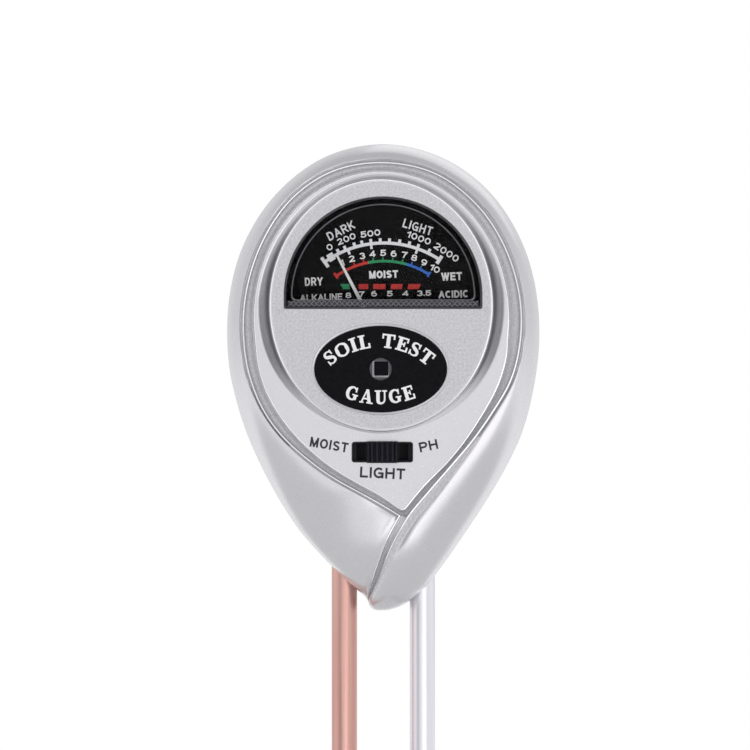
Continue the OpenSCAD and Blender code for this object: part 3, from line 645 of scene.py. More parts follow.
def front_face(s, lip_ring):
    """Groove, teardrop island, moat, disc and its openings, from the lip's bead inwards."""
    island = island_outline()
    t, best = match(lip_ring[:, [0, 2]], island)
    n = len(best)
    even = np.linspace(0, t[-1], n, endpoint=False)
    best = blur(best * 0.97 + even * 0.03, 5)
    best = np.clip(np.maximum.accumulate(best), 0, t[-1])
    edge = np.stack([np.interp(best, t, island[:, c]) for c in (0, 1)], 1)
    plan = lip_ring[:, [0, 2]]
    crest = lip_ring[:, 1]
    # Share of the way across, share of the crest's height, and rise from the groove's floor
    profile = [(0, 1, 0), (0.03, 0.93, 0), (0.05, 0.8, 0), (0.07, 0.62, 0), (0.09, 0.45, 0),
               (0.11, 0.33, 0), (0.135, 0.24, 0), (0.165, 0.17, 0), (0.2, 0.11, 0), (0.24, 0.06, 0),
               (0.3, 0.02, 0), (0.38, 0, 0), (0.52, 0, 0.06), (0.66, 0, 0.15), (0.77, 0, 0.26),
               (0.8, 0, 0.3), (0.87, 0, 0.5), (0.94, 0, 0.7), (0.97, 0, 0.77), (1.0, 0, 0.79)]
    rows = [at_depth(plan + (edge - plan) * f, crest * share + GROOVE_D * (1 - share) + rise)
            for f, share, rise in profile]
    n_in = blur(-outward(edge), 3, closed=True)
    shelf = edge + n_in * 0.12
    flat_edge = edge + n_in * 0.3
    rows += [at_depth(shelf, ISLAND_D), at_depth(flat_edge, ISLAND_D)]
    # Painted shade on the slope from the bead down into the groove (slot 6); painted highlight on the
    # island's rounded edge (slot 3)
    s.rows(rows[:3])
    s.rows(rows[2:6], slot=6)
    s.rows(rows[5:-6], slot=1)
    s.rows(rows[-7:-1], slot=3)
    s.rows(rows[-2:])

    # Moat round the disc, deep at the sides and closing to a fine line below
    disc = ellipse(DISC_C, DISC_R, 480)
    out = outward(disc)
    gap = np.array([np.min(np.linalg.norm(island - p, axis=1)) for p in disc])
    deep = step(disc[:, 1], 38, 56)
    top = step(disc[:, 1], 70, 84)
    wide = 0.35 + (np.minimum(gap - 0.45, 2.35) - 0.35) * np.sqrt(deep)
    drop = 0.16 + (1.0 - 0.55 * top) * deep
    wall_end = 0.16
    rows = [at_depth(disc + out * a, ISLAND_D - drop * share + (DISC_D - ISLAND_D) * level)
            for a, share, level in [(-0.6, 0, 1), (-0.36, 0, 1), (-0.16, 0, 0.94), (-0.02, 0, 0.3),
                                    (0.03, 0.3, 0), (0.09, 0.97, 0), (wall_end, 0.99, 0)]]
    for f in (0.15, 0.3, 0.45, 0.6, 0.75, 0.86, 0.94, 1.0):
        plan = disc + out * (wall_end + (wide - wall_end) * f)[:, None]
        rows.append(at_depth(plan, ISLAND_D - drop * (1 - f) ** 1.35 * 0.99))
    rows.append(at_depth(disc + out * (wide + 0.12)[:, None], ISLAND_D))
    # Painted highlight on the disc's rounded edge (slot 4), and painted shade on the moat's slope (slot 2)
    s.rows(rows[:2])
    s.rows(rows[1:5], slot=4)
    s.rows(rows[4:-3], slot=2)
    s.rows(rows[-4:])
    moat = rows[-1][:, [0, 2]]

    slot_hole = rounded_box(SLOT_C, SLOT_SIZE, 0.5)
    slot_edge = rounded_box(SLOT_C, (SLOT_SIZE[0] + 0.24, SLOT_SIZE[1] + 0.24), 0.62)
    s.flat(flat_edge, [moat, slot_edge], ISLAND_D)
    well = INNER_D - 0.6
    s.levels([(slot_edge, ISLAND_D), (slot_hole, ISLAND_D - 0.12), (slot_hole, well)])
    s.flat(slot_hole, [], well)

    s.flat(rows[0][:, [0, 2]], [window_outline(0.3), label_loop(0.55)], DISC_D, 1)
    # Painted shade: the wall of the window's opening is dark grey (slot 5)
    s.levels([(window_outline(g), d) for g, d in (
        (0.3, DISC_D), (0.2, DISC_D - 0.08), (-0.2, 13.72), (-0.2, 13.64), (0, 13.62), (0, well))], 5)
    s.flat(window_outline(0), [], well)
    hole = circle(LABEL_C, SENSOR_R)
    s.levels([(label_loop(g), DISC_D + d) for g, d in (
        (0.55, 0), (0.48, 0.06), (0.4, 0.15), (0.3, 0.19), (0.2, 0.17), (0.1, 0.1), (0.1, -0.3))]
        + [(hole, DISC_D - 0.3), (hole, well)])
    s.flat(hole, [], well)


def window_outline(grow, corner=0.5, low=None):
    """The D-shaped window: a round top on a straight lower edge."""
    r = WINDOW_R + grow
    low = WINDOW_Z - WINDOW_DROP - grow if low is None else low
    arc = [(r * math.cos(a), WINDOW_Z + r * math.sin(a)) for a in np.linspace(0, math.pi, 121)]
    c = corner
    left = [(-r + c - c * math.cos(a), low + c - c * math.sin(a)) for a in np.linspace(0, math.pi / 2, 7)]
    right = [(r - c + c * math.sin(a), low + c - c * math.cos(a)) for a in np.linspace(0, math.pi / 2, 7)]
    bottom = [(x, low) for x in np.linspace(-r + c, r - c, 42)[1:-1]]
    return np.array([*arc, *left, *bottom, *right])


# Outlines of the inside of the shells, before they are drawn in by the wall
CAD_EDGE = [(0, 95.6), (12.1, 92.8), (21.5, 86.1), (28.3, 75.8), (31.5, 65), (31.9, 55), (30.5, 44),
            (25.9, 30.8), (21.3, 22.8), (16.5, 15.6), (10.5, 7), (5.2, 1.9), (-1, 0), (-3.5, 2.2),
            (-6, 4.8), (-10.9, 9.4), (-17.1, 16.2), (-25, 29.5), (-30.5, 44.4), (-32, 55), (-31.5, 65),
            (-28.4, 75.6), (-21.4, 86), (-12.1, 92.9)]
CAD_LIP = [(0.2, 91.4), (11, 89), (18.9, 82.8), (24.5, 74.4), (27.5, 64.2), (27.7, 56), (26, 48),
           (21.2, 39), (16.7, 32.8), (12, 27.7), (8, 23.9), (5.4, 21.2), (3.6, 20), (1.8, 21),
           (-0.1, 22.2), (-4.8, 24.8), (-11, 28.3), (-19.2, 34.8), (-26, 44.5), (-28.2, 55), (-27.9, 65),
           (-24.8, 74.4), (-18.6, 84), (-10.4, 89.6)]


def drawn_in(points, kx, kz):
    """Points scaled about the head's middle."""
    p = np.asarray(points, float)
    return np.stack([p[:, 0] * kx, 52 + (p[:, 1] - 52) * kz], 1)


def matched_loop(points, steps=10):
    """A closed smooth curve with the same number of samples between each two points."""
    p = np.asarray(points, float)
    q = np.concatenate([p[-3:], p, p[:4]])
    t = arc_length(q)
    at = np.concatenate([np.linspace(t[3 + i], t[4 + i], steps, endpoint=False) for i in range(len(p))])
    return hermite(q, t, at)


def dome(name, outer, inner, depth, sign=1, below=1.5, turns=14):
    """A closed dome between two outlines, carried a little past the parting plane."""
    s = Surface()
    a, b = matched_loop(outer), matched_loop(inner)
    rows = [at_depth(a, -sign * below)]
    for t in np.linspace(0, np.pi / 2, turns):
        rows.append(at_depth(a + (b - a) * (1 - math.cos(t)), sign * depth * math.sin(t) ** DOME_POWER))
    s.rows(rows)
    s.flat(rows[0][:, [0, 2]], [], -sign * below)
    s.flat(rows[-1][:, [0, 2]], [], sign * depth)
    return s.build(name, [])


def bar(name, centre, size, d0, d1):
    s = Surface()
    loop = rounded_box(centre, size, 0.01, 1)
    s.prism(loop, loop, d0, d1)
    return s.build(name, [])


def rod_cutters():
    """The two channels that the probes leave the head through."""
    s = Surface()
    for x in ROD_X:
        turn(s, [(ROD_R + 0.05, -2.0), (ROD_R + 0.05, 14.0)], (x, 0), True, 72)
    return s.build("notches", [])


def make_front():
    s = Surface()
    under, lip_ring = front_skin(s)
    front_face(s, lip_ring)
    s.flat(under[:-1], [], 0.0)
    shell = s.build("head_front", [silver, sanded, painted_shade, painted_highlight, disc_edge_highlight, window_wall_shade, crease_shade])
    cavity = dome("cavity", drawn_in(CAD_EDGE, *WALL), drawn_in(CAD_LIP, *WALL), INNER_D)
    bosses = [tubes(f"boss_{i}", [(p, r, low, 17.0) for p in places])
              for i, (r, low, places, _, _) in enumerate(POSTS)]
    bosses.append(bar("rib", *RIB, 4.6, 17.0))
    cut(cavity, bosses)
    pilots = tubes("pilots", [(p, r, low - 1, top) for _, low, places, r, top in POSTS for p in places])
    cut(shell, [cavity, pilots, rod_cutters()])
    return finish_piece(shell, "housing", "silver_paint", "front_shell")


def make_back():
    s = Surface()
    edge = edge_line[:-1]
    flat, inner_flat = drawn_in(edge, 0.5, 0.5), drawn_in(edge, 0.495, 0.495)
    rows = [at_depth(edge - outward(edge) * PART_INSET, 0.0)]
    for t in np.linspace(0, np.pi / 2, 44):
        plan = edge + (flat - edge) * (1 - math.cos(t))
        rows.append(at_depth(plan, -PART_BEVEL - (BACK_D - PART_BEVEL) * math.sin(t) ** DOME_POWER))
    rows.append(at_depth(inner_flat, -BACK_D))
    s.rows(rows)
    s.flat(inner_flat, [], -BACK_D)
    s.flat(rows[0][:, [0, 2]], [], 0.0)
    shell = s.build("head_back", [silver])
    floor = drawn_in(drawn_in(CAD_EDGE, 0.5, 0.5), *WALL)
    cavity = dome("cavity", drawn_in(CAD_EDGE, *WALL), floor, 16.0, sign=-1)
    columns = tubes("columns", [(p, 4.2, -20.0, 2.0) for p in CASE_SCREWS])
    cut(cavity, [columns, bar("rib", *RIB, -20.0, -4.6)])
    bores = tubes("bores", [(p, 3.0, -22.0, -9.0) for p in CASE_SCREWS])
    holes = tubes("holes", [(p, 1.6, -9.5, 1.0) for p in CASE_SCREWS])
    cut(shell, [cavity, bores, holes, rod_cutters()])
    return finish_piece(shell, "housing", "silver_paint", "back_shell")


# ---------------------------------------------------------------- window, label and sensor

def make_window():
    """Clear lens: a flange behind the wall, a plate in the opening and a bevelled pad on it."""
    s = Surface()
    face = 13.6
    flange, plate = window_outline(1.1), window_outline(-0.1)
    rim, behind = window_outline(-0.22), 11.6
    s.levels([(flange, behind), (flange, INNER_D), (plate, INNER_D), (plate, face - 0.1), (rim, face)])
    s.flat(flange, [], behind)
    low = WINDOW_Z - WINDOW_DROP
    strip_top = low + 1.4
    pad = [(window_outline(g, 0.9, strip_top + up), d) for g, up, d in (
        (-1.2, 0.0, face), (-1.2, 0.0, 13.98), (-1.3, 0.1, 14.12), (-1.45, 0.25, 14.2))]
    s.levels(pad[:2])
    # The pad's bevel is painted grey as painted shade (slot 1)
    s.levels(pad[1:], 1)
    s.flat(pad[-1][0], [], pad[-1][1])
    # A strip of moulded crosses along the lower edge hides the pointer's root
    x_end, z0, z1, teeth, half_wide = 19.4, low + 0.26, strip_top - 0.04, 37, 0.085
    strip = np.array(rect(-x_end, z0, x_end, z1))
    s.flat(strip, [], face, 2)
    s.flat(rim, [pad[0][0], strip], face)
    xs = np.linspace(-x_end + 0.15, x_end - 0.15, teeth + 1)
    lines = []
    for x0, x1 in zip(xs[:-1], xs[1:]):
        for a, b in (((x0, z0), (x1, z1)), ((x0, z1), (x1, z0))):
            n = np.array([b[1] - a[1], a[0] - b[0]]) / math.dist(a, b) * half_wide
            lines.append([tuple(a - n), tuple(a + n), tuple(b + n), tuple(b - n)])
    # The crosses are painted grey as painted shade (slot 1)
    s.solid(*united(lines), face, face + 0.1, 1)
    lens = s.build("window_lens", [clear, bevel_shade, strip_dark], sharp=20)
    return finish_piece(lens, "housing", "window_plastic", "dial_window")


def square_loop(centre, half):
    """A square with slightly round corners, sampled by angle to go with a circle."""
    a = np.linspace(0, 2 * np.pi, CELL_STEPS, endpoint=False)
    c, sn = np.abs(np.cos(a)), np.abs(np.sin(a))
    r = half / (c**14 + sn**14) ** (1 / 14)
    return np.stack([centre[0] + r * np.cos(a), centre[1] + r * np.sin(a)], 1)


def make_label():
    """The oval plate, and the light cell's surround behind the hole in it."""
    s = Surface()
    hole, low, top = circle(LABEL_C, SENSOR_R), 14.7, 15.05
    s.levels([(label_loop(0), low), (label_loop(0), top), (label_loop(-0.1), LABEL_D),
              (circle(LABEL_C, SENSOR_R + 0.09), LABEL_D), (hole, top + 0.01), (hole, low),
              (label_loop(0), low)])
    finish_piece(s.build("sensor_label_plate", [label_black]), "housing", "label_black", "sensor_label")

    s = Surface()
    flange, neck = [circle(LABEL_C, r, CELL_STEPS) for r in (4.4, 2.3)]
    back, well = 11.5, 12.4
    # The square well leans, so its left and lower walls show
    leaning = (LABEL_C[0] + 0.13, LABEL_C[1] + 0.13)
    loops = [(flange, back), (flange, INNER_D), (neck, INNER_D), (neck, 13.98),
             (circle(LABEL_C, 2.2, CELL_STEPS), 14.1), (square_loop(LABEL_C, 1.72), 14.1),
             (square_loop(LABEL_C, 1.66), 14.04), (square_loop(leaning, 1.46), well),
             (square_loop(LABEL_C, 2.3), well), (square_loop(LABEL_C, 2.3), back), (flange, back)]
    s.levels(loops[:7])
    # The walls of the square well carry the bright silver ink as a painted highlight (slot 1)
    s.levels(loops[6:8], 1)
    s.levels(loops[7:])
    finish_piece(s.build("cell_frame", [grey, silver_ink_and_highlight]), "housing", "grey_plastic", "cell_bezel")


# ---------------------------------------------------------------- lettering and print

def united(polygons):
    """One flat triangle mesh over all the polygons: (points, faces)."""
    co, tri, mid = triangles(polygons, 1e-6)
    keep = np.zeros(len(tri), bool)
    for poly in polygons:
        keep |= inside(mid, poly)
    used, back = np.unique(tri[keep], return_inverse=True)
    return co[used], back.reshape(-1, 3).tolist()


def turned(points, angle, centre=(0, 0), scale=1.0):
    """Points scaled, turned anticlockwise by angle in degrees, and moved to centre."""
    p = np.asarray(points, float) * scale
    a = math.radians(angle)
    return np.stack([p[:, 0] * math.cos(a) - p[:, 1] * math.sin(a) + centre[0],
                     p[:, 0] * math.sin(a) + p[:, 1] * math.cos(a) + centre[1]], 1)


def rect(x0, z0, x1, z1):
    return [(x0, z0), (x1, z0), (x1, z1), (x0, z1)]


def stroke(points, widths, steps=28):
    """A line of changing width through points, as a strip of quads."""
    t = arc_length(points)
    at = np.linspace(0, t[-1], steps)
    p, w = hermite(points, t, at), np.interp(at, t, widths)
    d = np.gradient(p, axis=0)
    n = np.stack([-d[:, 1], d[:, 0]], 1) / np.linalg.norm(d, axis=1)[:, None]
    left, right = p + n * w[:, None] / 2, p - n * w[:, None] / 2
    return [[tuple(right[i]), tuple(right[i + 1]), tuple(left[i + 1]), tuple(left[i])]
            for i in range(steps - 1)]


def arc(cx, cz, rx, rz, a0, a1, steps=20):
    a = np.radians(np.linspace(a0, a1, steps))
    return [(cx + rx * math.cos(x), cz + rz * math.sin(x)) for x in a]


def bowl(z0, z1, start=0.55):
    """The right-hand bowl of a D, P or R, from the stem and back to it."""
    mid, r = (z0 + z1) / 2, (z1 - z0) / 2
    return [(0, z1), *arc(start, mid, 1 - start, r, 90, -90), (0, z0)]


# Width and skeleton of each plain capital and figure, in a box one wide and one high
S_CURVE = [*arc(0.5, 0.75, 0.48, 0.25, 25, 180, 14), (0.08, 0.62), (0.5, 0.5), (0.92, 0.38),
           *arc(0.5, 0.25, 0.5, 0.25, 0, -155, 14)]
SANS = {
    "A": (0.84, [[(0, 0), (0.5, 1)], [(0.5, 1), (1, 0)], [(0.16, 0.32), (0.84, 0.32)]]),
    "C": (0.76, [arc(0.55, 0.5, 0.55, 0.5, 48, 312, 30)]),
    "D": (0.74, [[(0, 0), (0, 1)], bowl(0, 1, 0.45)]),
    "E": (0.62, [[(0, 0), (0, 1)], [(0, 1), (1, 1)], [(0, 0), (1, 0)], [(0, 0.52), (0.9, 0.52)]]),
    "G": (0.8, [arc(0.53, 0.5, 0.53, 0.5, 48, 330, 30), [(1, 0.0), (1, 0.46)], [(0.6, 0.46), (1, 0.46)]]),
    "H": (0.72, [[(0, 0), (0, 1)], [(1, 0), (1, 1)], [(0, 0.52), (1, 0.52)]]),
    "I": (0.0, [[(0.5, 0), (0.5, 1)]]),
    "K": (0.74, [[(0, 0), (0, 1)], [(0.02, 0.32), (1, 1)], [(0.34, 0.58), (1, 0)]]),
    "L": (0.58, [[(0, 0), (0, 1)], [(0, 0), (1, 0)]]),
    "M": (0.86, [[(0, 0), (0, 1)], [(0, 1), (0.5, 0.02)], [(0.5, 0.02), (1, 1)], [(1, 0), (1, 1)]]),
    "N": (0.72, [[(0, 0), (0, 1)], [(0, 1), (1, 0)], [(1, 0), (1, 1)]]),
    "O": (0.82, [arc(0.5, 0.5, 0.5, 0.5, 0, 360, 40)]),
    "P": (0.68, [[(0, 0), (0, 1)], bowl(0.44, 1)]),
    "R": (0.74, [[(0, 0), (0, 1)], bowl(0.47, 1), [(0.5, 0.47), (1, 0)]]),
    "S": (0.68, [S_CURVE]),
    "T": (0.66, [[(0, 1), (1, 1)], [(0.5, 0), (0.5, 1)]]),
    "W": (1.12, [[(0, 1), (0.25, 0)], [(0.25, 0), (0.5, 1)], [(0.5, 1), (0.75, 0)],
                 [(0.75, 0), (1, 1)]]),
    "Y": (0.78, [[(0, 1), (0.5, 0.42)], [(1, 1), (0.5, 0.42)], [(0.5, 0), (0.5, 0.45)]]),
    "0": (0.62, [arc(0.5, 0.5, 0.5, 0.5, 0, 360, 40)]),
    "1": (0.3, [[(1, 0), (1, 1)], [(0, 0.72), (1, 0.98)]]),
    "2": (0.6, [[*arc(0.5, 0.72, 0.47, 0.28, 165, -35, 16), (0.0, 0.02)], [(0, 0), (1, 0)]]),
    "3": (0.6, [arc(0.48, 0.75, 0.46, 0.25, 155, -90, 18), arc(0.48, 0.26, 0.52, 0.26, 90, -160, 18)]),
    "4": (0.64, [[(0.76, 0), (0.76, 1)], [(0.76, 1), (0, 0.26)], [(0, 0.26), (1, 0.26)]]),
    "5": (0.6, [[(0.12, 1), (0.95, 1)], [(0.12, 0.48), (0.12, 1)],
                arc(0.45, 0.32, 0.55, 0.32, 140, -160, 24)]),
    "6": (0.6, [arc(0.5, 0.32, 0.5, 0.32, 0, 360, 34),
                [*arc(0.6, 0.5, 0.6, 0.5, 70, 180, 14), (0.0, 0.32)]]),
    "7": (0.6, [[(0, 1), (1, 1)], [(1, 1), (0.55, 0.5), (0.36, 0)]]),
    "8": (0.6, [arc(0.5, 0.76, 0.44, 0.24, 0, 360, 30), arc(0.5, 0.26, 0.5, 0.26, 0, 360, 30)]),
    "9": (0.6, [arc(0.5, 0.68, 0.5, 0.32, 0, 360, 34),
                [*arc(0.4, 0.5, 0.6, 0.5, -110, 0, 14), (1.0, 0.68)]]),
    ".": (0.0, [[(0.5, 0), (0.5, 0.02)]]),
}


def clipped(poly, z0=0.0, z1=1.0):
    """A convex polygon cut off below z0 and above z1."""
    for sign, level in ((1, z0), (-1, z1)):
        out = []
        for p, q in zip(poly, [*poly[1:], poly[0]]):
            dp, dq = sign * (p[1] - level), sign * (q[1] - level)
            if dp >= 0:
                out.append(p)
            if dp * dq < 0:
                f = dp / (dp - dq)
                out.append((p[0] + (q[0] - p[0]) * f, p[1] + (q[1] - p[1]) * f))
        poly = out
        if not poly:
            break
    return poly


def thick_lines(skeleton, width, weight):
    """Polygons of a glyph's strokes, in a box of that width and a height of one."""
    polys = []
    for line in skeleton:
        p = np.array(line, float) * [width, 1 - weight] + [weight / 2, weight / 2]
        curved = len(p) > 4
        for i in range(len(p) - 1):
            a, b = p[i], p[i + 1]
            d = (b - a) / max(np.linalg.norm(b - a), 1e-9)
            n = np.array([-d[1], d[0]]) * weight / 2
            more = weight * (0.06 if curved else 0.5)
            a, b = a - d * more, b + d * more
            poly = clipped([tuple(a - n), tuple(b - n), tuple(b + n), tuple(a + n)])
            if len(poly) > 2:
                polys.append(poly)
    return polys


def line_of_text(body, weight, gap, wide):
    """Capitals one high, centred: (points, faces) for each character."""
    made, at = [], 0.0
    for c in body:
        width, skeleton = SANS[c]
        pts, faces = united(thick_lines(skeleton, width * wide, weight))
        made.append((pts + [at, 0], faces))
        at += width * wide + weight + gap
    total = at - gap
    return [(pts - [total / 2, 0.5], faces) for pts, faces in made]


def write(s, body, centre, cap, angle=0.0, wide=1.0, weight=0.15, gap=0.13, base=DIAL_D, thick=INK):
    """Plain capitals or figures of one height, centred and turned by an angle in degrees."""
    for pts, faces in line_of_text(body, weight, gap, wide):
        s.solid(turned(pts, angle, centre, cap), faces, base, base + thick)


# Width and solid parts of each slab-serif capital, one high
SERIF = {
    "I": (0.5, [rect(.12, 0, .38, 1), rect(0, 0, .5, .11), rect(0, .89, .5, 1)]),
    "L": (0.8, [rect(.11, 0, .37, 1), rect(0, .89, .48, 1), rect(0, 0, .78, .12),
                rect(.65, 0, .78, .36)]),
    "T": (0.92, [rect(.33, 0, .59, 1), rect(0, .88, .92, 1), rect(0, .64, .12, 1), rect(.8, .64, .92, 1),
                 rect(.2, 0, .72, .11)]),
    "E": (0.86, [rect(.11, 0, .37, 1), rect(0, .88, .8, 1), rect(.68, .66, .8, 1), rect(0, 0, .85, .12),
                 rect(.72, 0, .85, .36), rect(.3, .45, .6, .57), rect(.5, .34, .6, .68)]),
    "O": (0.98, stroke([(.49, .94), (.15, .75), (.13, .5), (.15, .25), (.49, .06), (.83, .25), (.85, .5),
                        (.83, .75), (.49, .94)], [.12, .2, .26, .2, .12, .2, .26, .2, .12], 48)),
    "U": (0.96, [rect(.11, .3, .37, 1), rect(0, .89, .48, 1), rect(.68, .3, .8, 1), rect(.56, .89, .92, 1),
                 *stroke([(.24, .34), (.27, .16), (.49, .065), (.68, .17), (.74, .34)],
                         [.26, .24, .13, .12, .12])]),
    "A": (1.02, [[(.08, 0), (.2, 0), (.56, 1), (.44, 1)], [(.64, 0), (.9, 0), (.62, 1), (.4, 1)],
                 rect(.24, .27, .72, .38), rect(0, 0, .32, .1), rect(.54, 0, 1.02, .1)]),
    "G": (0.98, [*stroke([(.74, .8), (.5, .94), (.22, .8), (.13, .5), (.22, .2), (.5, .06), (.78, .17)],
                         [.13, .12, .22, .26, .22, .12, .14]), rect(.68, .62, .8, .97),
                 rect(.62, .08, .86, .46), rect(.5, .37, .94, .47)]),
    "S": (0.76, [*stroke([(.63, .74), (.53, .9), (.36, .945), (.17, .86), (.15, .68), (.36, .53),
                          (.59, .38), (.62, .19), (.42, .06), (.22, .09), (.1, .27)],
                         [.1, .1, .11, .17, .2, .25, .21, .18, .11, .1, .1], 44),
                 rect(.58, .64, .68, .99), rect(.05, .01, .15, .36)]),
}


def arched(s, word, centre, radius, cap, top, gap, space, squeeze):
    """Slab-serif capitals along a circle, read from outside it when top is true."""
    widths = [space if c == " " else SERIF[c][0] * squeeze for c in word]
    at, side = -(sum(widths) + gap * (len(word) - 1)) / 2, 1 if top else -1
    for c, width in zip(word, widths):
        mid = (at + width / 2) * cap / radius
        at += width + gap
        if c == " ":
            continue
        pts, faces = united(SERIF[c][1])
        pts = (pts - [SERIF[c][0] / 2, 0.5]) * [squeeze, 1.0]
        place = (centre[0] + radius * math.sin(mid), centre[1] + side * radius * math.cos(mid))
        s.solid(turned(pts, -side * math.degrees(mid), place, cap), faces, LABEL_D, LABEL_D + INK)


def sector(r0, r1, a0, a1, steps=40):
    """Part of a ring about the dial's centre, between two angles from upright in degrees."""
    a = np.radians(np.linspace(a0, a1, steps))
    return [(DIAL_C[0] + r * math.sin(x), DIAL_C[1] + r * math.cos(x))
            for r, run in ((r1, a), (r0, a[::-1])) for x in run]


def tick(r0, r1, angle, width):
    """A straight mark across the scale at an angle from upright."""
    a = math.radians(angle)
    d, n = np.array([math.sin(a), math.cos(a)]), np.array([math.cos(a), -math.sin(a)]) * width / 2
    return [tuple(DIAL_C + d * r + n * side) for r, side in ((r0, -1), (r0, 1), (r1, 1), (r1, -1))]


def print_piece(s, name, ink, slot):
    return finish_piece(s.build(name, [ink], weld=1e-5, sharp=30), "housing", slot)


def make_print():
    s = Surface()
    for body, centre, cap, angle, wide, weight in [
            ("DARK", (-8.8, 77.8), 1.8, 27, 0.7, 0.17), ("LIGHT", (6.93, 78.51), 1.8, -17, 0.7, 0.17),
            ("0", (-11.08, 74.43), 1.3, 33, 1.2, 0.2), ("200", (-7.66, 76.1), 1.3, 22, 1.15, 0.2),
            ("500", (-2.74, 77.22), 1.3, 8, 1.2, 0.2), ("1000", (7.15, 76.31), 1.35, -20, 1.15, 0.2),
            ("2000", (12.79, 73.39), 1.4, -33, 1.12, 0.2)]:
        write(s, body, (centre[0] + DIAL_X, centre[1]), cap, angle, wide, weight, 0.16)
    band = [sector(20.35, 21.0, -35.7, 33.3, 90), tick(19.4, 21.8, -35.7, 0.7),
            tick(20.0, 21.6, -31.2, 1.4), tick(19.7, 21.6, 33.3, 0.75)]
    band += [tick(20.8, 21.65, a, 0.6)
             for a in (-26.2, -22, -16.5, -12.2, -7.2, -2.0, 3.1, 8.7, 14.2, 19.3, 25.9)]
    band += [tick(19.6, 20.5, a, 0.5) for a in (-20.8, -7.3, 19.4)]
    s.solid(*united(band), DIAL_D, DIAL_D + INK)
    print_piece(s, "light_scale", silver_ink_and_highlight, "silver_paint")

    s = Surface()
    for body, x, z, angle in [
            ("2", -6.54, 72.05, 12), ("3", -4.41, 72.63, 9), ("4", -2.32, 73.05, 5), ("5", -0.15, 73.26, 2),
            ("6", 2.02, 73.09, -3), ("7", 4.23, 72.84, -7), ("8", 6.2, 72.26, -13), ("9", 8.2, 71.3, -20),
            ("10", 10.41, 70.05, -28), ("1", -8.5, 71.2, 20)]:
        write(s, body, (x + DIAL_X, z), 1.3, angle, 1.2, 0.2)
    for body, x, z, cap, wide, weight in [
            ("MOIST", -0.05, 68.87, 1.55, 0.7, 0.25), ("WET", 13.83, 68.46, 1.65, 0.7, 0.22),
            ("ACIDIC", 14.2, 64.84, 1.5, 0.7, 0.22), ("DRY", -14.3, 67.41, 1.7, 0.6, 0.19),
            ("ALKALINE", -12.8, 64.2, 1.35, 0.82, 0.2)]:
        write(s, body, (x + DIAL_X, z), cap, 2.0, wide, weight, 0.11)
    for body, x, z in [("8", -7.24, 64.6), ("7", -4.53, 64.83), ("6", -2.0, 64.92), ("5", 1.2, 64.95),
                       ("4", 4.4, 65.0), ("3.5", 8.2, 65.05)]:
        write(s, body, (x + DIAL_X, z), 1.15, 2.0, 1.35, 0.21)
    print_piece(s, "dial_figures", white_ink, "pointer_white")

    # Colour bands, and the blocks under the moisture words: lower and upper ends of each
    for name, ink, slot, a0, a1, ticks, blocks in [
            ("scale_red", red_ink, "wire_red", -34.9, -10.8, (-20.3, -13.7),
             [(-5.02, -3.07, -5.02, -3.07), (-2.08, 0.46, -2.08, 0.46), (1.45, 3.79, 1.63, 4.0),
              (4.92, 7.18, 5.15, 7.71)]),
            ("scale_green", green_ink, "board_green", -10.8, 15.6, (-7.2, -0.6, 5.9, 12.6),
             [(-8.2, -6.85, -8.78, -6.95)]),
            ("scale_blue", blue_ink, "wire_blue", 15.6, 32.8, (19.1, 25.7), [])]:
        s = Surface()
        shapes = [sector(16.7, 17.25, a0, a1, 40)] + [tick(17.1, 17.75, a, 0.28) for a in ticks]
        if name == "scale_red":
            shapes.append(tick(16.4, 17.75, a0, 0.5))
        if name == "scale_blue":
            shapes.append(tick(16.4, 17.6, a1, 0.45))
        for low0, low1, top0, top1 in blocks:
            shapes.append([(low0, 65.85), (low1, 65.85), (top1, 66.91), (top0, 66.91)])
        s.solid(*united(shapes), DIAL_D, DIAL_D + INK)
        print_piece(s, name, ink, slot)

    s = Surface()
    arched(s, "SOIL TEST", (-0.85, 39.4), 16.0, 2.85, True, 0.13, 0.6, 1.02)
    arched(s, "GAUGE", (-0.6, 63.6), 19.7, 2.85, False, 0.09, 0.6, 0.95)
    print_piece(s, "label_letters", white_ink, "pointer_white")

    s = Surface()
    for body, x, z, cap, angle, wide in [
            ("MOIST", -10.95, 34.25, 2.0, -9.6, 0.76), ("PH", 9.2, 34.05, 2.0, 12.0, 0.95),
            ("LIGHT", -0.1, 28.5, 2.2, -2.7, 0.93)]:
        write(s, body, (x, z), cap, angle, wide, 0.2, 0.15, ISLAND_D, thick=0.025)
    print_piece(s, "function_words", black_ink, "label_black")


# ---------------------------------------------------------------- switch, probes and screws

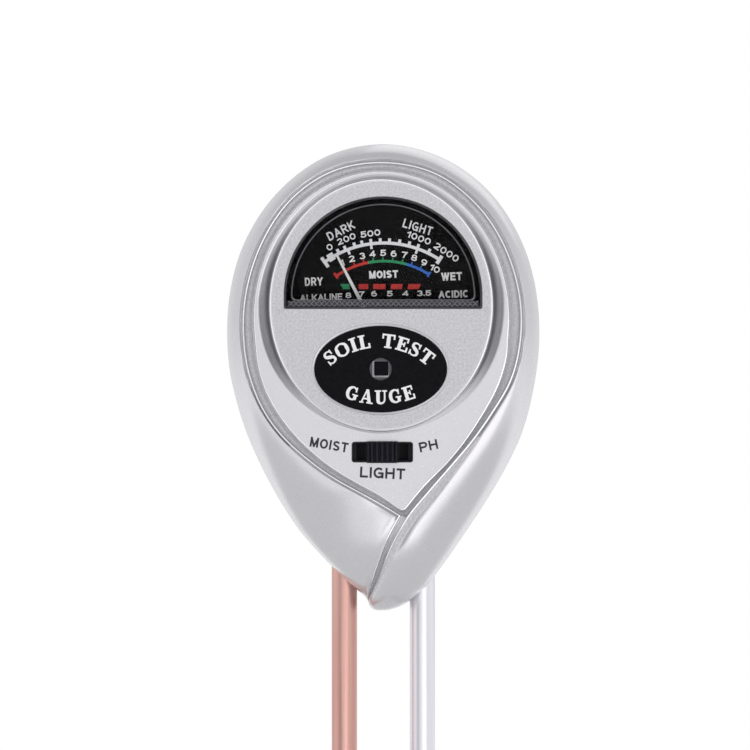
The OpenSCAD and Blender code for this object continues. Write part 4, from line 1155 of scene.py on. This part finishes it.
def make_knob():
    """Ribbed cap with its stem and slider below."""
    s = Surface()
    length, height, top, foot, pitch, r = 6.2, 4.4, 16.5, 15.05, 1.05, 0.45
    rows = []
    for x in np.linspace(-length / 2, length / 2, 121):
        edge = 1 - min(1.0, (length / 2 - abs(x)) / 0.35)
        rib = 0.42 * (0.5 + 0.5 * math.cos(2 * math.pi * (x / pitch + 0.5))) ** 1.6
        crown = top - (0.0 if abs(x) > 2.5 * pitch + 0.1 else rib) - 0.3 * edge**2.5 - r
        side = height / 2 - r
        section = [(-height / 2, foot), (-height / 2, crown)]
        section += [(-side - r * math.cos(a), crown + r * math.sin(a)) for a in np.linspace(0.2, 1.57, 6)]
        section += [(side + r * math.sin(a), crown + r * math.cos(a)) for a in np.linspace(0, 1.37, 6)]
        section += [(height / 2, crown), (height / 2, foot)]
        rows.append(np.array([(SLOT_C[0] + x, d, SLOT_C[1] + z) for z, d in section]))
    s.rows(rows)
    for row in (rows[0], rows[-1]):
        s.add(row, [tuple(range(len(row)))])
    cap = s.build("switch_cap", [knob_black], sharp=40)
    finish_piece(cap, "switch_slider", "black_plastic", "switch_knob")
    stem = Surface()
    for size, d0, d1 in [((5.8, 3.6), 12.9, foot), ((4.4, 2.8), 11.3, 12.9), ((7.2, 4.6), 9.0, 11.3)]:
        loop = rounded_box(SLOT_C, size, 0.15, 4)
        stem.prism(loop, loop, d0, d1)
    finish_piece(stem.build("switch_stem", [knob_black]), "switch_slider", "black_plastic")


def make_probe(x, name, mat, slot, node):
    """A pointed rod with a flange at its top and a threaded end inside the head."""
    point, shank = 8.6, ROD_R - 0.18
    profile = [(0.05, ROD_LOW), (0.18, ROD_LOW + 0.03), (0.3, ROD_LOW + 0.12)]
    profile += [(0.3 + (ROD_R - 0.34) * f, ROD_LOW + 0.12 + point * f) for f in np.linspace(0, 1, 12)[1:]]
    profile += [(ROD_R - 0.015, ROD_LOW + 8.9), (ROD_R, ROD_LOW + 9.15)]
    profile += [(ROD_R, z) for z in np.linspace(ROD_LOW + 14, -4, 20)]
    thread_from, thread_to = 24.0, 29.6
    profile += [(ROD_R, 14.2), (3.45, 14.2), (3.6, 14.35), (3.6, 15.35), (3.45, 15.5), (shank, 15.5),
                (shank, thread_from)]
    z = thread_from
    while z < thread_to:
        profile += [(1.5, z + 0.05), (1.5, z + 0.2), (1.33, z + 0.35)]
        z += 0.45
    profile += [(1.5, z + 0.05), (1.5, 29.8), (1.3, 30.0)]
    s = Surface()
    turn(s, profile, (x, 0), True, 96)
    finish_piece(s.build(name, [mat]), "housing", slot, node)


def make_case_screws():
    """Four pan heads with cross recesses, seated in the back shell's counterbores."""
    s, crosses = Surface(), Surface()
    profile = [(0.2, 10.0), (0.9, 9.2), (1.2, 8.4)]
    d = 8.2
    while d > -3.0:
        profile += [(1.2, d), (1.0, d - 0.3)]
        d -= 0.6
    profile += [(1.2, -3.2), (1.2, -9.0), (2.45, -9.0), (2.6, -9.15), (2.6, -9.5), (2.5, -9.9),
                (2.2, -10.25), (1.7, -10.48), (1.1, -10.58), (0.4, -10.61)]
    w, l, taper = 0.24, 1.5, 0.45
    plan = np.array([(w, w), (w, l), (-w, l), (-w, w), (-l, w), (-l, -w), (-w, -w), (-w, -l), (w, -l),
                     (w, -w), (l, -w), (l, w)])
    for c in CASE_SCREWS:
        turn(s, profile, c)
        crosses.prism(plan * taper + c, plan + c, -9.4, -11.0)
    screws = s.build("case_screw_set", [steel])
    cut(screws, [crosses.build("crosses", [])])
    finish_piece(screws, "housing", "steel", "case_screws")


def dress_frame():
    """Every CAD node that still shows, and every hidden one, gets its slot's material."""
    slots = {part["node"]: part["material_slot"] for part in frame["record"]["subparts"]}
    for name, obj in frame["nodes"].items():
        mat = MADE[slots[name]]
        for place in obj.material_slots:
            place.material = mat
        if not obj.material_slots:
            obj.data.materials.append(mat)


make_front()
make_back()
make_window()
make_label()
make_print()
make_knob()
make_probe(ROD_X[0], "copper_rod", copper, "copper", "copper_probe")
make_probe(ROD_X[1], "aluminium_rod", aluminium, "aluminium", "aluminium_probe")
make_case_screws()
dress_frame()

# ---------------------------------------------------------------- stage, light and camera

def make_stage():
    """A plain pale disc just below the probes' points."""
    s = Surface()
    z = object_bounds()[0].z / MM - 0.2
    loops = [circle((0, 0), r, 96) for r in (500.0, 330.0, 160.0)]
    loops = [np.stack([p[:, 0], p[:, 1], np.full(len(p), z)], 1) for p in loops]
    s.rows(loops)
    s.fan(loops[-1], (0, 0, z))
    s.build("floor", [material("floor", (0.96, 0.96, 0.96), 0.9)])


def placed(name, data, place, towards):
    """A light or camera at a place, facing a direction."""
    obj = bpy.data.objects.new(name, data)
    obj.location = place
    obj.rotation_mode = "QUATERNION"
    obj.rotation_quaternion = towards.to_track_quat("-Z", "Y")
    bpy.context.scene.collection.objects.link(obj)
    return obj


def area_light(name, place, size, power, colour=(1, 1, 1)):
    """A square lamp that faces the middle of the head."""
    data = bpy.data.lights.new(name, "AREA")
    data.shape, data.size, data.size_y, data.energy, data.color = "RECTANGLE", size, size, power, colour
    placed(name, data, place, Vector((0, 0, 0.03)) - Vector(place))


def make_world():
    """White all round, with a dimmer ring between the lamps and the lens that shades the slopes."""
    world = bpy.data.worlds.new("studio")
    bpy.context.scene.world = world
    world.use_nodes = True
    links = world.node_tree.links
    back = world.node_tree.nodes["Background"]
    _, _, ramp, split, _, _, shown = link(
        world, ("ShaderNodeTexCoord", {}, {}),
        ("ShaderNodeVectorMath", {"operation": "DOT_PRODUCT"}, {0: (0, "Generated"), 1: (0, -1, 0)}),
        ("ShaderNodeValToRGB", {}, {"Fac": (1, "Value")}),
        ("ShaderNodeSeparateXYZ", {}, {0: (0, "Generated")}),
        ("ShaderNodeBackground", {}, {"Color": (1, 1, 1, 1), "Strength": 1.0}),
        ("ShaderNodeLightPath", {}, {}),
        ("ShaderNodeMixShader", {}, {"Fac": (5, "Is Camera Ray"), 2: (4, "Background")}))
    elements = ramp.color_ramp.elements
    elements[0].position, elements[1].position = 0.0, 1.0
    for place, level in ((0.0, 0.78), (0.42, 0.86), (0.56, 0.86), (0.68, 0.22), (0.84, 0.26), (0.94, 0.88),
                         (1.0, 0.98)):
        e = elements[0] if place == 0.0 else elements[-1] if place == 1.0 else elements.new(place)
        e.color = (level, level, level * 1.02, 1)
    colour = ramp.outputs["Color"]
    # Even light from below, and a little less from above
    for start, full, level in ((0.02, -0.3, 1.08), (0.3, 0.8, 0.56)):
        share, mix = link(world, ("ShaderNodeMapRange", {}, {"From Min": start, "From Max": full}),
                          ("ShaderNodeMix", {"data_type": "RGBA"},
                           {0: (0, "Result"), 7: (level, level, level * 1.01, 1)}))
        links.new(split.outputs["Z"], share.inputs["Value"])
        links.new(colour, mix.inputs[6])
        colour = mix.outputs[2]
    links.new(colour, back.inputs["Color"])
    links.new(back.outputs["Background"], shown.inputs[1])
    links.new(shown.outputs["Shader"], world.node_tree.nodes["World Output"].inputs["Surface"])


def make_camera():
    """The lens a long way off, a little to the right and above, in line with the dial."""
    target, distance, frame_width, sensor = Vector((-0.0017, -0.004, 0.0483)), 1.5, 0.1534, 36
    az, el = math.radians(0.3), math.radians(0.6)
    back = Vector((math.sin(az) * math.cos(el), -math.cos(az) * math.cos(el), math.sin(el)))
    data = bpy.data.cameras.new("camera")
    data.sensor_width, data.lens = sensor, sensor * distance / frame_width
    data.clip_start, data.clip_end = 0.05, 20
    bpy.context.scene.camera = placed("camera", data, target + back * distance, -back)


make_stage()
make_world()
make_camera()
area_light("key", (-0.55, -0.8, 0.85), 0.8, 1.7)
area_light("fill", (0.4, -0.85, -0.3), 0.7, 1.3, (1.0, 0.95, 0.94))
area_light("back_light", (0.3, 0.9, 0.7), 0.8, 0.8)
bpy.context.scene.view_settings.view_transform = "Standard"
